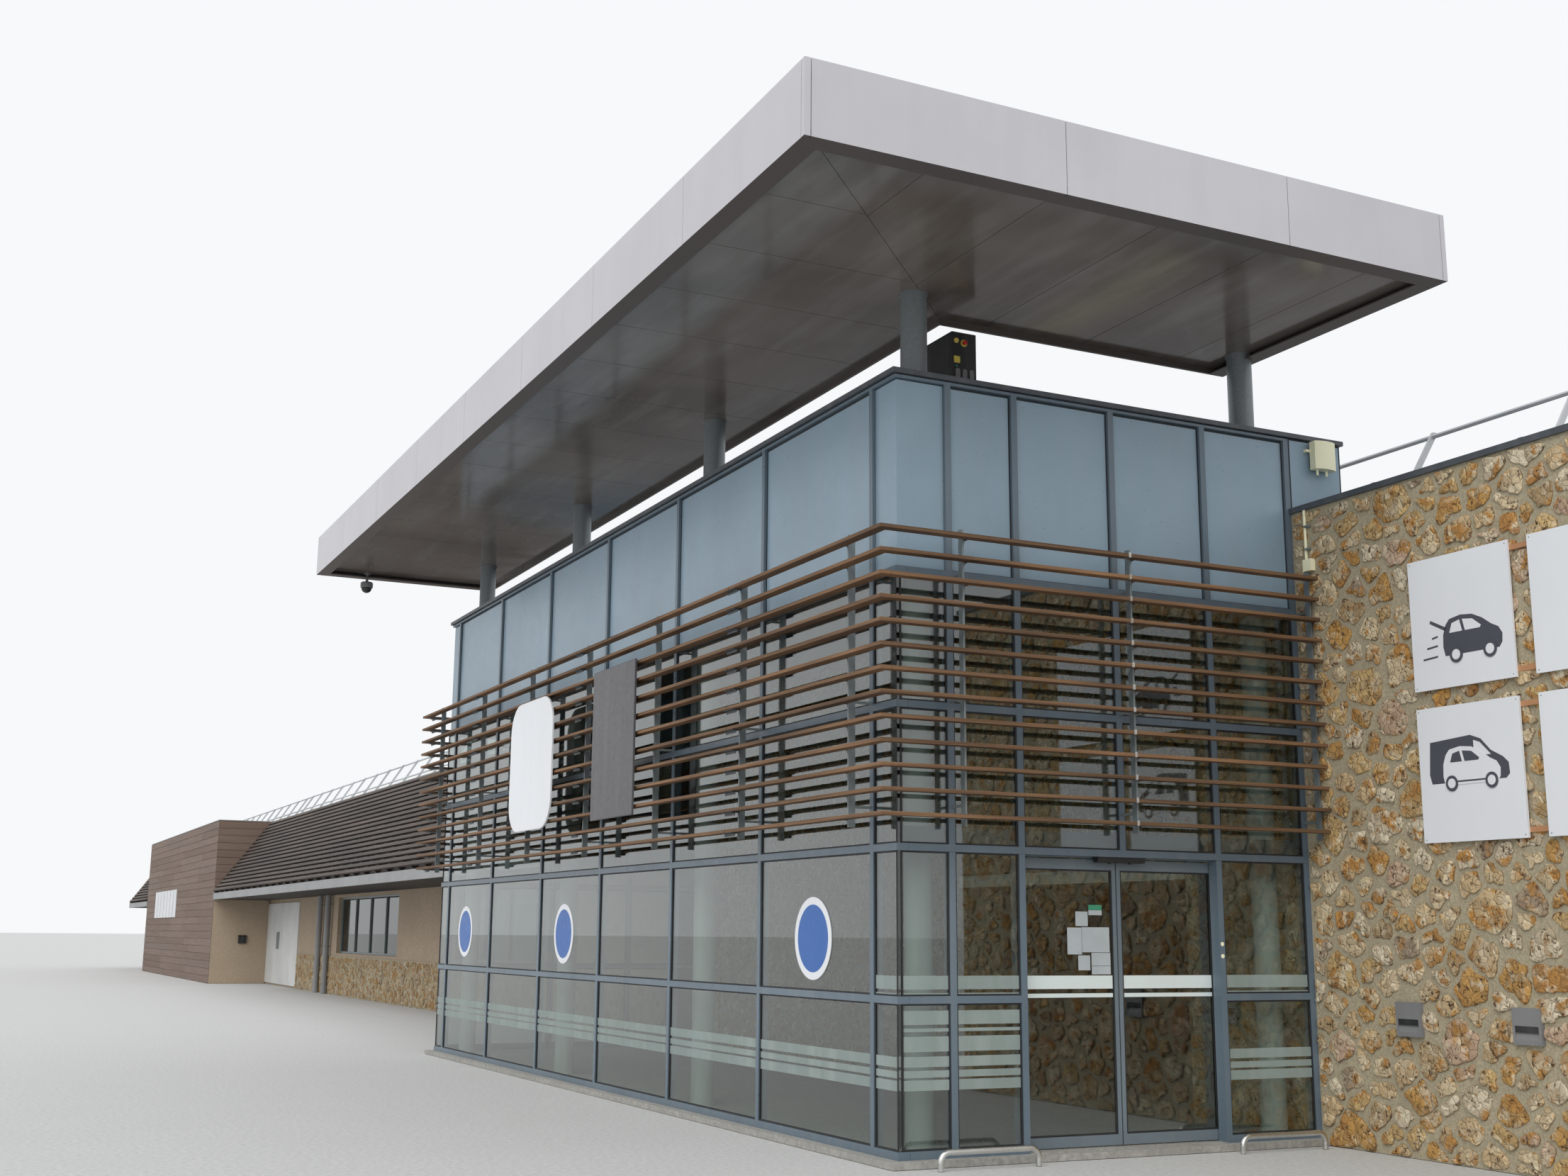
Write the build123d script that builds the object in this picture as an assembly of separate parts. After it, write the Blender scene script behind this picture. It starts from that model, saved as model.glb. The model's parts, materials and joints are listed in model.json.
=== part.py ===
"""Supermarket building: glazed corner entrance, slatted arcade wing and timber-clad block.

A 1:2 scale model of the near two thirds of a long single-storey shop. All sizes are millimetres
of the model, so 500 here is one metre on the real building.
The origin is the entrance pavilion's glass corner at ground level. +X runs along the door face
to the rubble stone wall, +Y runs back along the long glass side, and +Z is up.
"""
from build123d import *
from math import hypot
import os

# Entrance pavilion: the bays of its glazing
end_bay = 196.5            # narrow bay beside each glass corner
bay = 1014.0               # full bay of the long side
left_bays = 6
corner_bay = 242.0         # door face: corner to first mullion
side_bay = 314.0           # door face: first mullion to the doorway
leaf_bay = 480.0           # one door leaf, and the fixed bay beside them
back_bays = 3

# Entrance pavilion: glazing bars, glass and heights
frame_depth = 50.0
bar_wide = 27.5
glass_thick = 12.0
glass_recess = 8.0           # glass behind the bars' outer face
floor_top = 25.0
sill_tall = 30.0
transom_levels = (590.0, 1150.0, 1690.0)
band_bottom = 2225.0
band_top = 3000.0
floor_lip = 50.0           # floor slab's edge outside the glass
joint_gap = 1.0            # open joint between lengths of one run

# Entrance pavilion: metal band over the glass, and flat roof
parapet_thick = 40.0
panel_thick = 12.0
panel_recess = 15.0          # panels' face behind the bars' face
panel_reveal = 5.0           # open line between the panels and the bar over them
cap_bar_tall = 12.0          # bar along the panels' heads
cap_bar_gap = 4.0            # shadow line between that bar and the coping
coping_thick = 20.0
coping_overhang = 14.0
band_end = 2293.0            # band's end, over the rubble wall
pavilion_roof_under = 2560.0
roof_thick = 90.0

# Timber louvre round the pavilion
slat_count = 13
slat_first = 1255.0
slat_pitch = 89.6
slat_thick = 13.5
slat_deep = 47.5
slat_out = 150.0           # outer edge from the glass face
slat_joint = 4.0             # open end joint between two lengths
slat_joints_side = (1245.0, 3290.0, 5320.0)
slat_joint_front = 998.0
post_deep = 30.0
post_thick = 8.0
post_overrun = 28.0
bracket_tall = 10.0
bracket_levels = (1300.0, 1704.0, 2192.0)
louvre_back_end = 860.0

# Canopy over the pavilion's corner, on round columns
canopy_left = -900.0
canopy_front = -1000.0
canopy_right = 1945.0
canopy_back = 6975.0
canopy_inner_x = 420.0
canopy_inner_y = 350.0
canopy_under = 3405.0
canopy_deep = 250.0
fascia_thick = 14.0
fascia_lip = 28.0          # fascia's bottom edge below the soffit boards
fascia_panel = 1008.0        # one edge panel and its seam
fascia_corner = 23.0         # leg of the folded corner trims
fascia_seam = 3.0
fascia_return = 70.0         # flange turned in under the edge
fascia_return_thick = 6.0
soffit_thick = 12.0
soffit_seam = 3.0
soffit_board = 504.0         # half an edge panel
deck_thick = 30.0
deck_drop = 20.0             # deck below the top of the edge
column_radius = 55.0
column_x = 175.0
column_y = 150.0
column_bays = 2            # bays of glass between columns
column_count = 4
front_column_x = 1870.0
base_radius = 62.0
base_thick = 10.0
collar_radius = 60.0         # ring under the soffit
collar_thick = 6.0

# Sliding door
clearance = 5.0
leaf_thick = 22.0
leaf_stile = 17.5
leaf_rail = 40.0
leaf_lap = 10.0            # leaf's overlap behind the jamb
operator_tall = 100.0
operator_deep = 40.0
hanger_wide = 60.0         # roller hangers that carry a leaf under the drive housing
hanger_inset = 70.0
hanger_thick = 10.0
running_gap = 0.3
threshold_thick = 3.0

# Hall and its walls
wall_thick = 225.0         # rubble stone wall
stone_top = 2650.0
stone_cap = 25.0
street_end = -2750.0       # plain end of the stone wall
hall_back = 10000.0
shell_thick = 100.0        # plain end, back and block walls
hall_roof_under = 2450.0
hall_roof_thick = 100.0
wing_face = 1750.0         # outer face of the arcade's wall
wing_wall_thick = 246.0
wall_lap = 150.0           # stone wall carried on past the pavilion, to meet the wing's wall
wing_top = 2550.0
far_end = 36500.0
passage_start = 825.0     # way from the pavilion into the hall
passage_wide = 1900.0
passage_top = 1090.0

# Arcade of the wing: eave beam, soffit and raked slatted roof
wing_start = 6740.0
eave_x = 860.0
eave_z = 1440.0
ridge_x = 1690.0
ridge_z = 2545.0
rafter_deep = 58.0
rafter_thick = 22.0
rafter_pitch = 505.0
rafter_end_gap = 60.0
deck_board = 12.0
roof_slats = 18
roof_slat_tall = 46.0
roof_slat_thick = 20.0
eave_beam_wide = 40.0
eave_beam_tall = 100.0
eave_flange = 8.0
arcade_soffit_thick = 14.0
downpipe_radius = 40.0
downpipe_places = ((1690.0, 19240.0), (1690.0, 18680.0))

# Timber-clad block
block_start = 23600.0
block_end = 33000.0
block_face = 875.0
block_top = 2565.0
block_cap_thick = 12.0
cap_out = 8.0                # cap's drip outside the boards
lining_thick = 12.0          # smooth lining of the block's flanks, under the arcade
poster_count = 7
poster_wide = 420.0
poster_tall = 500.0
poster_pitch = 470.0
poster_first = 28300.0
poster_low = 1060.0
poster_thick = 10.0

# Openings of the wing's wall
window_first = 9000.0
window_pitch = 5925.0
window_wide = 3375.0
window_low = 540.0
window_high = 1270.0
window_bays = 4
window_bar = 25.0
window_depth = 50.0
plinth_top = 500.0
plinth_thick = 15.0
white_start = 21000.0
white_panels = 4
white_gap = 6.0
white_top = 1250.0
back_window_first = 1500.0
back_window_pitch = 9000.0
back_windows = 4

# Stone wall fittings
board_first = -670.0
board_wide = 495.0
board_pitch = 585.0
board_columns = 2
board_lows = (1190.0, 1780.0)
board_tall = 520.0
board_thick = 10.0
board_rail_tall = 20.0
board_rail_thick = 15.0
light_first = -460.0
light_pitch = 565.0
light_count = 2
light_wide = 125.0
light_low = 455.0
light_tall = 130.0
light_deep = 20.0
light_rim = 10.0             # plate left round the opening
light_mouth = (18.0, 66.0)   # opening's lowest and highest edge on the plate
light_mouth_deep = 17.0
antenna_place = (2105.0, -16.0, 2863.0)
antenna_size = (117.0, 34.0, 128.0)
antenna_bulge = 14.0
antenna_strap = (2085.0, 2240.0, 2945.0)
antenna_strap_tall = 12.0
antenna_strap_thick = 6.0
antenna_gland = (5.0, 26.0)  # radius and length
case_size = (118.0, 240.0)
case_headroom = 85.0         # from its top to the soffit
case_place = (419.0, 250.0)
conduit_radius = 6.5
conduit_y = -86.0
conduit_low = 2428.0
conduit_box = (24.0, 50.0, 52.0)

# Guard rail on the roof and low rails by the door
rail_radius = 10.0
rail_sides = 6
rail_post_wide = 30.0
rail_post_thick = 12.0
rail_over = 60.0           # rails' length past the last post
rail_height = 450.0
rail_lean = 284.0
rail_mid = 0.52
rail_post_pitch = 750.0
rail_foot = (70.0, 90.0, 8.0)
rail_inset = 45.0
bump_radius = 11.0
bump_height = 64.0
bump_out = 130.0
bump_bend = 36.0             # bend's radius along the tube's middle
bump_spans = ((100.0, 518.0), (1470.0, 1889.0))

# Places that follow from the sizes above
pavilion_len = 2 * end_bay + left_bays * bay
door_start = corner_bay + side_bay
door_mid = door_start + leaf_bay
door_end = door_mid + leaf_bay
wall_face = door_end + leaf_bay
wall_back = wall_face + wall_thick
left_mullions = [end_bay + k * bay for k in range(left_bays + 1)]
back_mullions = [corner_bay + k * (wall_face - corner_bay) / back_bays for k in range(back_bays)]
slat_levels = [slat_first + k * slat_pitch for k in range(slat_count)]
operator_low = transom_levels[1] - bar_wide / 2 - clearance
head_low = band_bottom - bar_wide
glass_corner = glass_recess + glass_thick + joint_gap
frame_corner = frame_depth + joint_gap
front_bars = [corner_bay, door_start, door_mid, door_end, wall_face - bar_wide / 2]
band_bar_deep = panel_recess + panel_thick
band_bar_top = band_top - cap_bar_gap
band_bar_corner = band_bar_deep + joint_gap
upstand_inner = band_bar_deep + parapet_thick
panel_top = band_bar_top - cap_bar_tall - panel_reveal
panel_side = bar_wide / 2 + joint_gap
soffit_outer = (canopy_left + fascia_thick, canopy_front + fascia_thick)
soffit_inner = (canopy_inner_x - fascia_thick, canopy_inner_y - fascia_thick)
canopy_top = canopy_under + canopy_deep
deck_top = canopy_top - deck_drop
deck_low = deck_top - deck_thick
hall_roof_top = hall_roof_under + hall_roof_thick
eave_beam_top = eave_z - eave_beam_wide * (ridge_x - eave_x) / (ridge_z - eave_z) - joint_gap
wing_wall_back = wing_face + wing_wall_thick
arcade_ceiling = eave_beam_top - eave_beam_tall


def block_of(x0, x1, y0, y1, z0, z1):
    """A plain solid between two corners."""
    return Pos(x0, y0, z0) * Box(x1 - x0, y1 - y0, z1 - z0, align=(Align.MIN,) * 3)


def fuse(pieces):
    """One body made of touching or crossing pieces."""
    return pieces[0] + pieces[1:] if len(pieces) > 1 else pieces[0]


def solids_of(shape):
    """The separate solids in a shape, or in a list of shapes."""
    if isinstance(shape, (list, tuple)):
        return [s for item in shape for s in solids_of(item)]
    return list(shape.solids())


def save(name, shape):
    """Write one node's solids to its own file."""
    export_step(Compound(solids_of(shape)), f"parts/{name}.step")
    print(name, len(solids_of(shape)))


def upright(y, z0, z1):
    """A mullion of the long glass side."""
    return block_of(0, frame_depth, y - bar_wide / 2, y + bar_wide / 2, z0, z1)


def front_upright(x, z0, z1):
    """A mullion of the door face."""
    return block_of(x - bar_wide / 2, x + bar_wide / 2, 0, frame_depth, z0, z1)


def front_rail(x0, x1, z0, z1):
    """A level bar of the door face."""
    return block_of(x0, x1, 0, frame_depth, z0, z1)


def bar_rows():
    """Lowest and highest edge of each level bar: sill, transoms and head."""
    half = bar_wide / 2
    middle = [(z - half, z + half) for z in transom_levels]
    return [(floor_top, floor_top + sill_tall)] + middle + [(head_low, band_bottom)]


def pane_rows():
    """Lowest and highest edge of each row of glass."""
    rows = bar_rows()
    return [(rows[k][1], rows[k + 1][0]) for k in range(len(rows) - 1)]


def pane_columns(centres, start, end):
    """Clear stretches between bars along a face that runs from start to end."""
    edges = [start] + [e for c in centres for e in (c - bar_wide / 2, c + bar_wide / 2)] + [end]
    return [(edges[k], edges[k + 1]) for k in range(0, len(edges), 2) if edges[k + 1] - edges[k] > 1]


def left_frame():
    """Bars of the long side: mullions to the head of the band, level bars from corner to corner."""
    bars = [block_of(0, frame_depth, 0, pavilion_len, z0, z1) for z0, z1 in bar_rows()]
    bars += [upright(y, floor_top, band_bottom) for y in left_mullions]
    bars += [block_of(0, band_bar_deep, y - bar_wide / 2, y + bar_wide / 2, band_bottom, band_bar_top)
             for y in left_mullions]
    bars.append(block_of(0, band_bar_deep, 0, pavilion_len, band_bar_top - cap_bar_tall, band_bar_top))
    return fuse(bars)


def left_glass():
    """Panes of the long side, in the middle of the bars."""
    near = glass_recess
    return [block_of(near, near + glass_thick, y0, y1, z0, z1) for z0, z1 in pane_rows()
            for y0, y1 in pane_columns(left_mullions, near, pavilion_len - near)]


def back_frame():
    """Bars of the pavilion's rear face, from the glass corner to the stone wall."""
    y0, y1 = pavilion_len - frame_depth, pavilion_len
    half = bar_wide / 2
    centres = back_mullions + [wall_face - half]
    bars = [block_of(frame_corner, wall_face, y0, y1, a, b) for a, b in bar_rows()]
    bars += [block_of(x - half, x + half, y0, y1, floor_top, band_bottom) for x in centres]
    y0 = y1 - band_bar_deep
    bars += [block_of(x - half, x + half, y0, y1, band_bottom, band_bar_top) for x in centres]
    bars.append(block_of(band_bar_corner, wall_face, y0, y1, band_bar_top - cap_bar_tall, band_bar_top))
    return fuse(bars)


def back_glass():
    """Panes of the rear face."""
    y0 = pavilion_len - glass_recess - glass_thick
    return [block_of(x0, x1, y0, y0 + glass_thick, z0, z1) for z0, z1 in pane_rows()
            for x0, x1 in pane_columns(back_mullions, glass_corner, wall_face - bar_wide)]


def front_frame_side(x0, x1, centres):
    """Bars beside the doorway, up to the transom over it."""
    top = transom_levels[1] - bar_wide / 2 - joint_gap
    rows = [(z0, z1) for z0, z1 in bar_rows() if z1 <= top]
    return fuse([front_rail(x0, x1, z0, z1) for z0, z1 in rows]
                + [front_upright(x, floor_top, top) for x in centres])


def front_frame_top():
    """Bars over the doorway and the fixed bays, from the transom to the head of the band."""
    low = transom_levels[1] - bar_wide / 2
    half = bar_wide / 2
    rows = [(z0, z1) for z0, z1 in bar_rows() if z1 > low]
    bars = [front_rail(frame_corner, wall_face, z0, z1) for z0, z1 in rows]
    for x in front_bars:
        bars.append(front_upright(x, low, band_bottom))
        bars.append(block_of(x - half, x + half, 0, band_bar_deep, band_bottom, band_bar_top))
    bars.append(block_of(band_bar_corner, wall_face, 0, band_bar_deep, band_bar_top - cap_bar_tall,
                         band_bar_top))
    return fuse(bars)


def front_glass():
    """Panes of the door face: two fixed bays below, every bay above."""
    y0 = glass_recess
    low = transom_levels[1]
    last = wall_face - bar_wide
    panes = []
    for z0, z1 in pane_rows():
        if z1 < low:
            spans = pane_columns([corner_bay], glass_corner, door_start - bar_wide / 2)
            spans += [(door_end + bar_wide / 2, last)]
        else:
            spans = pane_columns([corner_bay, door_start, door_mid, door_end], glass_corner, last)
        panes += [block_of(x0, x1, y0, y0 + glass_thick, z0, z1) for x0, x1 in spans]
    return panes


def pavilion_floor():
    """Slab under the pavilion, with a narrow lip outside the glass."""
    return block_of(-floor_lip, wall_face, -floor_lip, pavilion_len + floor_lip, 0, floor_top)


def band_walls():
    """Upstand behind the band's panels: left, front, back and the end over the rubble wall."""
    near, far = band_bar_deep, upstand_inner
    x0 = far + joint_gap
    rear = pavilion_len
    left = block_of(near, far, near, rear - near, band_bottom, band_top)
    front = block_of(x0, wall_face, near, far, band_bottom, band_top)
    back = block_of(x0, wall_face, rear - far, rear - near, band_bottom, band_top)
    end = block_of(wall_face + joint_gap, band_end, panel_thick, far, stone_top, band_top)
    return left, front, back, end


def folded_panel(arm_x, arm_y):
    """A panel folded round a glass corner, with its two arms' lengths from the corner."""
    a, t = panel_recess, panel_thick
    one = block_of(a, a + t, a, arm_y, band_bottom, panel_top)
    return one + block_of(a, arm_x, a, a + t, band_bottom, panel_top)


def clear_spans(centres):
    """Stretches between bars, less an open joint at each side."""
    return [(centres[k] + panel_side, centres[k + 1] - panel_side) for k in range(len(centres) - 1)]


def band_panels():
    """Metal panels between the band's bars, folded at the corners, and the plain end panel."""
    low, high, a, t = band_bottom, panel_top, panel_recess, panel_thick
    rear = pavilion_len
    made = [block_of(a, a + t, y0, y1, low, high) for y0, y1 in clear_spans(left_mullions)]
    made += [block_of(x0, x1, a, a + t, low, high) for x0, x1 in clear_spans(front_bars)]
    made += [block_of(x0, x1, rear - a - t, rear - a, low, high)
             for x0, x1 in clear_spans(back_mullions + [wall_face - bar_wide / 2])]
    corner = folded_panel(corner_bay - panel_side, end_bay - panel_side)
    middle = Plane(origin=(0, rear / 2, 0), z_dir=(0, 1, 0))
    end = block_of(wall_face + joint_gap, band_end, 0, t, stone_top, band_bar_top)
    return made + [corner, corner.mirror(middle), end]


def band_coping():
    """Folded metal cap on the upstand, with a drip edge outside."""
    out, inner = coping_overhang, upstand_inner + coping_overhang
    z0, z1 = band_top, band_top + coping_thick
    x0 = inner + joint_gap
    left = block_of(-out, inner, -out, pavilion_len + out, z0, z1)
    front = block_of(x0, band_end + out, -out, inner, z0, z1)
    back = block_of(x0, wall_face, pavilion_len - inner, pavilion_len + out, z0, z1)
    return [left, front, back]


def column_places():
    """Plan centres of the round columns."""
    side = [(column_x, column_y + k * column_bays * bay) for k in range(column_count)]
    return side + [(front_column_x, column_y)]


def columns():
    """Round columns from the floor through the pavilion's roof to the canopy's beams."""
    top = canopy_under + soffit_thick - floor_top
    collar = canopy_under - floor_top
    made = []
    for x, y in column_places():
        outline = Polyline((0, 0), (base_radius, 0), (base_radius, base_thick),
                           (column_radius, base_thick), (column_radius, collar - collar_thick),
                           (collar_radius, collar - collar_thick), (collar_radius, collar),
                           (column_radius, collar), (column_radius, top), (0, top), close=True)
        shaft = revolve(Plane.XZ * make_face(outline), Axis.Z)
        made.append(Pos(x, y, floor_top) * shaft)
    return made


def pavilion_roof():
    """Flat roof between the upstands, cut round the columns."""
    t = upstand_inner
    slab = block_of(t, wall_face, t, pavilion_len - t, pavilion_roof_under,
                    pavilion_roof_under + roof_thick)
    for x, y in column_places():
        slab -= Pos(x, y, pavilion_roof_under) * Cylinder(column_radius, 4 * roof_thick)
    return slab


def louvre_side():
    """Slats along the long glass side, from the door corner to past the rear corner."""
    ends = [-slat_out] + [y for y in slat_joints_side] + [pavilion_len + slat_out]
    spans = [(ends[k] + (slat_joint if k else 0), ends[k + 1]) for k in range(len(ends) - 1)]
    return [block_of(-slat_out, slat_deep - slat_out, y0, y1, z, z + slat_thick)
            for z in slat_levels for y0, y1 in spans]


def louvre_front():
    """Slats across the door face to the stone wall."""
    x0 = slat_deep - slat_out + joint_gap
    spans = ((x0, slat_joint_front), (slat_joint_front + slat_joint, wall_face))
    return [block_of(a, b, -slat_out, slat_deep - slat_out, z, z + slat_thick)
            for z in slat_levels for a, b in spans]


def louvre_back():
    """Slats round the rear corner, as far as the arcade's eave."""
    x0, y1 = slat_deep - slat_out + joint_gap, pavilion_len + slat_out
    return [block_of(x0, louvre_back_end, y1 - slat_deep, y1, z, z + slat_thick) for z in slat_levels]


def louvre_post_left(y, face):
    """One flat post behind the slats, with its brackets back to the mullion."""
    z0 = slat_levels[0] - post_overrun
    z1 = slat_levels[-1] + slat_thick + post_overrun
    x0 = slat_deep - slat_out
    half = post_thick / 2
    post = block_of(x0, x0 + post_deep, y - half, y + half, z0, z1)
    arms = [block_of(x0 + post_deep, face, y - half, y + half, z, z + bracket_tall)
            for z in bracket_levels]
    return fuse([post] + arms)


def louvre_posts_side():
    """Posts along the long side, one to a mullion."""
    return [louvre_post_left(y, 0) for y in left_mullions]


def louvre_posts_front():
    """Posts across the door face, and the last one on the stone wall."""
    places = (corner_bay, door_mid, wall_face - bar_wide / 2)
    return [mirror_diagonal(louvre_post_left(x, 0)) for x in places]


def louvre_posts_rear():
    """Posts across the rear return, in front of its mullions."""
    middle = Plane(origin=(0, pavilion_len / 2, 0), z_dir=(0, 1, 0))
    places = [x for x in back_mullions if x < louvre_back_end]
    return [mirror_diagonal(louvre_post_left(x, 0)).mirror(middle) for x in places]


def mirror_diagonal(shape):
    """Swap X and Y, so that a side piece serves the door face."""
    return shape.mirror(Plane(origin=(0, 0, 0), z_dir=(1, -1, 0)))


def canopy_decks():
    """Roof deck of each leg, inside the fascia and a little below its top."""
    f = fascia_thick
    front = block_of(canopy_left + f, canopy_right - f, canopy_front + f, canopy_inner_y - f,
                     deck_low, deck_top)
    side = block_of(canopy_left + f, canopy_inner_x - f, canopy_inner_y - f + joint_gap,
                    canopy_back - f, deck_low, deck_top)
    return [front, side]


def edge_spans(start, end):
    """Stretches of the edge panels from one corner trim on, the last one cut short."""
    spans, at = [], start
    while at < end:
        spans.append((at + fascia_seam, min(at + fascia_panel, end)))
        at += fascia_panel
    return spans


def corner_trim():
    """Folded trim of an outer corner, at the origin."""
    f, leg = fascia_thick, fascia_corner
    z0, z1 = canopy_under - fascia_lip, canopy_top
    return block_of(0, f, 0, leg, z0, z1) + block_of(0, leg, 0, f, z0, z1)


def canopy_fascias():
    """Upright edge of the canopy: outer panels, corner trims, and plain inner edges."""
    f, g, leg = fascia_thick, joint_gap, fascia_corner
    z0, z1 = canopy_under - fascia_lip, canopy_top
    ix, iy = canopy_inner_x, canopy_inner_y
    left, front, right, back = canopy_left, canopy_front, canopy_right, canopy_back
    made = [block_of(x0, x1, front, front + f, z0, z1)
            for x0, x1 in edge_spans(left + leg, right - leg - fascia_seam)]
    made += [block_of(left, left + f, y0, y1, z0, z1)
             for y0, y1 in edge_spans(front + leg, back - leg - fascia_seam)]
    made.append(block_of(right - f, right, front + leg + fascia_seam, iy, z0, z1))
    made.append(block_of(left + leg + fascia_seam, ix, back - f, back, z0, z1))
    made.append(block_of(ix + g, right - f - g, iy - f, iy, z0, z1))
    made.append(block_of(ix - f, ix, iy - f, back - f - g, z0, z1))
    trim = corner_trim()
    made.append(Pos(left, front, 0) * trim)
    made.append(Pos(right, front, 0) * trim.mirror(Plane.YZ))
    made.append(Pos(left, back, 0) * trim.mirror(Plane.XZ))
    return made + canopy_returns()


def canopy_returns():
    """Flanges turned in under the outer edges, which leave a dark step up to the soffit."""
    f, r, g = fascia_thick, fascia_return, joint_gap
    z0 = canopy_under - fascia_lip
    z1 = z0 + fascia_return_thick
    x0, y0 = soffit_outer
    x1, y1 = canopy_right - f, canopy_back - f
    front = block_of(x0, x1, y0, y0 + r, z0, z1)
    side = block_of(x0, x0 + r, y0 + r + g, y1, z0, z1)
    right = block_of(x1 - r, x1, y0 + r + g, soffit_inner[1], z0, z1)
    right -= Pos(front_column_x, column_y, z0) * Cylinder(column_radius, 4 * fascia_return_thick)
    back = block_of(x0 + r + g, soffit_inner[0], y1 - r, y1, z0, z1)
    return [front, side, right, back]


def canopy_soffit():
    """Soffit boards with open seams in line with the edge panels, mitred at the corner."""
    ox, oy = soffit_outer
    ix, iy = soffit_inner
    right, back = canopy_right - fascia_thick, canopy_back - fascia_thick
    gap = soffit_seam / 2
    front = make_face(Polyline((ox + gap, oy, 0), (right, oy, 0), (right, iy, 0), (ix + gap, iy, 0),
                               close=True))
    side = make_face(Polyline((ox, oy + gap, 0), (ix, iy + gap, 0), (ix, back, 0), (ox, back, 0),
                              close=True))
    first_x, first_y = canopy_left + fascia_corner, canopy_front + fascia_corner
    cuts_x = [block_of(x, x + soffit_seam, oy, iy, 0, soffit_thick)
              for x in steps(first_x + soffit_board, right, soffit_board)]
    cuts_y = [block_of(ox, ix, y, y + soffit_seam, 0, soffit_thick)
              for y in steps(first_y + soffit_board, back, soffit_board)]
    holes = [Pos(x, y, 0) * Cylinder(column_radius, 4 * soffit_thick) for x, y in column_places()]
    boards = [wall_with_holes(extrude(front, soffit_thick), cuts_x + holes),
              wall_with_holes(extrude(side, soffit_thick), cuts_y + holes)]
    return [Pos(0, 0, canopy_under) * solid for solid in solids_of(boards)]


def steps(start, end, pitch):
    """Even places from a start to before an end."""
    return [start + k * pitch for k in range(int((end - start) // pitch) + 1)]


def canopy_beams():
    """Steel beams on the columns, under the deck."""
    z0, z1 = canopy_under + soffit_thick, deck_low
    half = column_radius
    f = fascia_thick
    front = block_of(canopy_left + f, canopy_right - f, column_y - half, column_y + half, z0, z1)
    side = block_of(column_x - half, column_x + half, column_y + half + joint_gap, canopy_back - f, z0, z1)
    return [front, side]


def door_leaf(x0, x1):
    """One leaf's stiles and rails, and its glass."""
    y0 = frame_depth + clearance
    y1 = y0 + leaf_thick
    z0 = floor_top + threshold_thick + clearance
    z1 = operator_low - clearance
    outer = block_of(x0, x1, y0, y1, z0, z1)
    hole = block_of(x0 + leaf_stile, x1 - leaf_stile, y0, y1, z0 + leaf_rail, z1 - leaf_rail)
    g0 = y0 + (leaf_thick - glass_thick) / 2
    glass = block_of(x0 + leaf_stile, x1 - leaf_stile, g0, g0 + glass_thick,
                     z0 + leaf_rail, z1 - leaf_rail)
    h0 = y0 + (leaf_thick - hanger_thick) / 2
    hangers = [block_of(x, x + hanger_wide, h0, h0 + hanger_thick, z1, operator_low - running_gap)
               for x in (x0 + hanger_inset, x1 - hanger_inset - hanger_wide)]
    return fuse([outer - hole] + hangers), glass


def door_operator():
    """Drive housing over the doors, on the inside of the transom."""
    return block_of(frame_depth, wall_face, frame_depth, frame_depth + operator_deep,
                    operator_low, operator_low + operator_tall)


def door_threshold():
    """Flat sill plate in the doorway."""
    return block_of(door_start + bar_wide / 2, door_end - bar_wide / 2, 0, frame_depth,
                    floor_top, floor_top + threshold_thick)


def stone_walls():
    """Rubble wall in its stretches: street end, lobby end and the piece over the passage."""
    end = passage_start + passage_wide
    street = block_of(wall_face, wall_back, street_end, passage_start, 0, stone_top)
    lobby = block_of(wall_face, wall_back, end, pavilion_len + wall_lap, 0, stone_top)
    over = block_of(wall_face, wall_back, passage_start, end, passage_top, stone_top)
    return [street, lobby], over


def stone_coping():
    """Metal cap of the rubble wall."""
    o = coping_overhang
    return block_of(wall_face - o, wall_back + o, street_end - o, -joint_gap, stone_top,
                    stone_top + stone_cap)


def hall_floor():
    """Floor slab of the hall and of the block."""
    main = block_of(wall_back, hall_back - shell_thick, street_end + shell_thick,
                    far_end - shell_thick, 0, floor_top)
    sill = block_of(wall_face, wall_back, passage_start, passage_start + passage_wide, 0, floor_top)
    wing = block_of(wing_wall_back, wall_back, pavilion_len + wall_lap, far_end - shell_thick, 0,
                    floor_top)
    bay_floor = block_of(block_face + shell_thick, wing_wall_back, block_start + shell_thick,
                         block_end - shell_thick, 0, floor_top)
    return fuse([main, sill, wing]), bay_floor


def wall_with_holes(wall, holes):
    """A wall with its openings cut through."""
    for hole in holes:
        wall -= hole
    return wall


def window_places():
    """Start of each window of the wing along Y."""
    return [window_first + k * window_pitch for k in range(2)]


def back_window_places():
    """Start of each window of the back wall along Y."""
    return [back_window_first + k * back_window_pitch for k in range(back_windows)]


def wing_walls():
    """Arcade wall in front of the hall, near and beyond the block."""
    holes = [block_of(wing_face, wing_wall_back, y, y + window_wide, window_low, window_high)
             for y in window_places()]
    near = block_of(wing_face, wing_wall_back, pavilion_len + floor_lip, block_start + shell_thick,
                    0, wing_top)
    far = block_of(wing_face, wing_wall_back, block_end - shell_thick, far_end - shell_thick,
                   0, wing_top)
    return wall_with_holes(near, holes), far


def window_set(face, inward, places):
    """Frames and glass of a row of windows in a wall that faces along X."""
    frames, panes = [], []
    x0, x1 = sorted((face + inward * window_depth, face + 2 * inward * window_depth))
    mid = (x0 + x1 - glass_thick) / 2
    step = (window_wide - window_bar) / window_bays
    for y in places:
        outer = block_of(x0, x1, y, y + window_wide, window_low, window_high)
        for k in range(window_bays):
            a = y + window_bar + k * step
            b = a + step - window_bar
            span = (a, b, window_low + window_bar, window_high - window_bar)
            outer -= block_of(x0, x1, *span)
            panes.append(block_of(mid, mid + glass_thick, *span))
        frames.append(outer)
    return frames, panes


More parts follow.
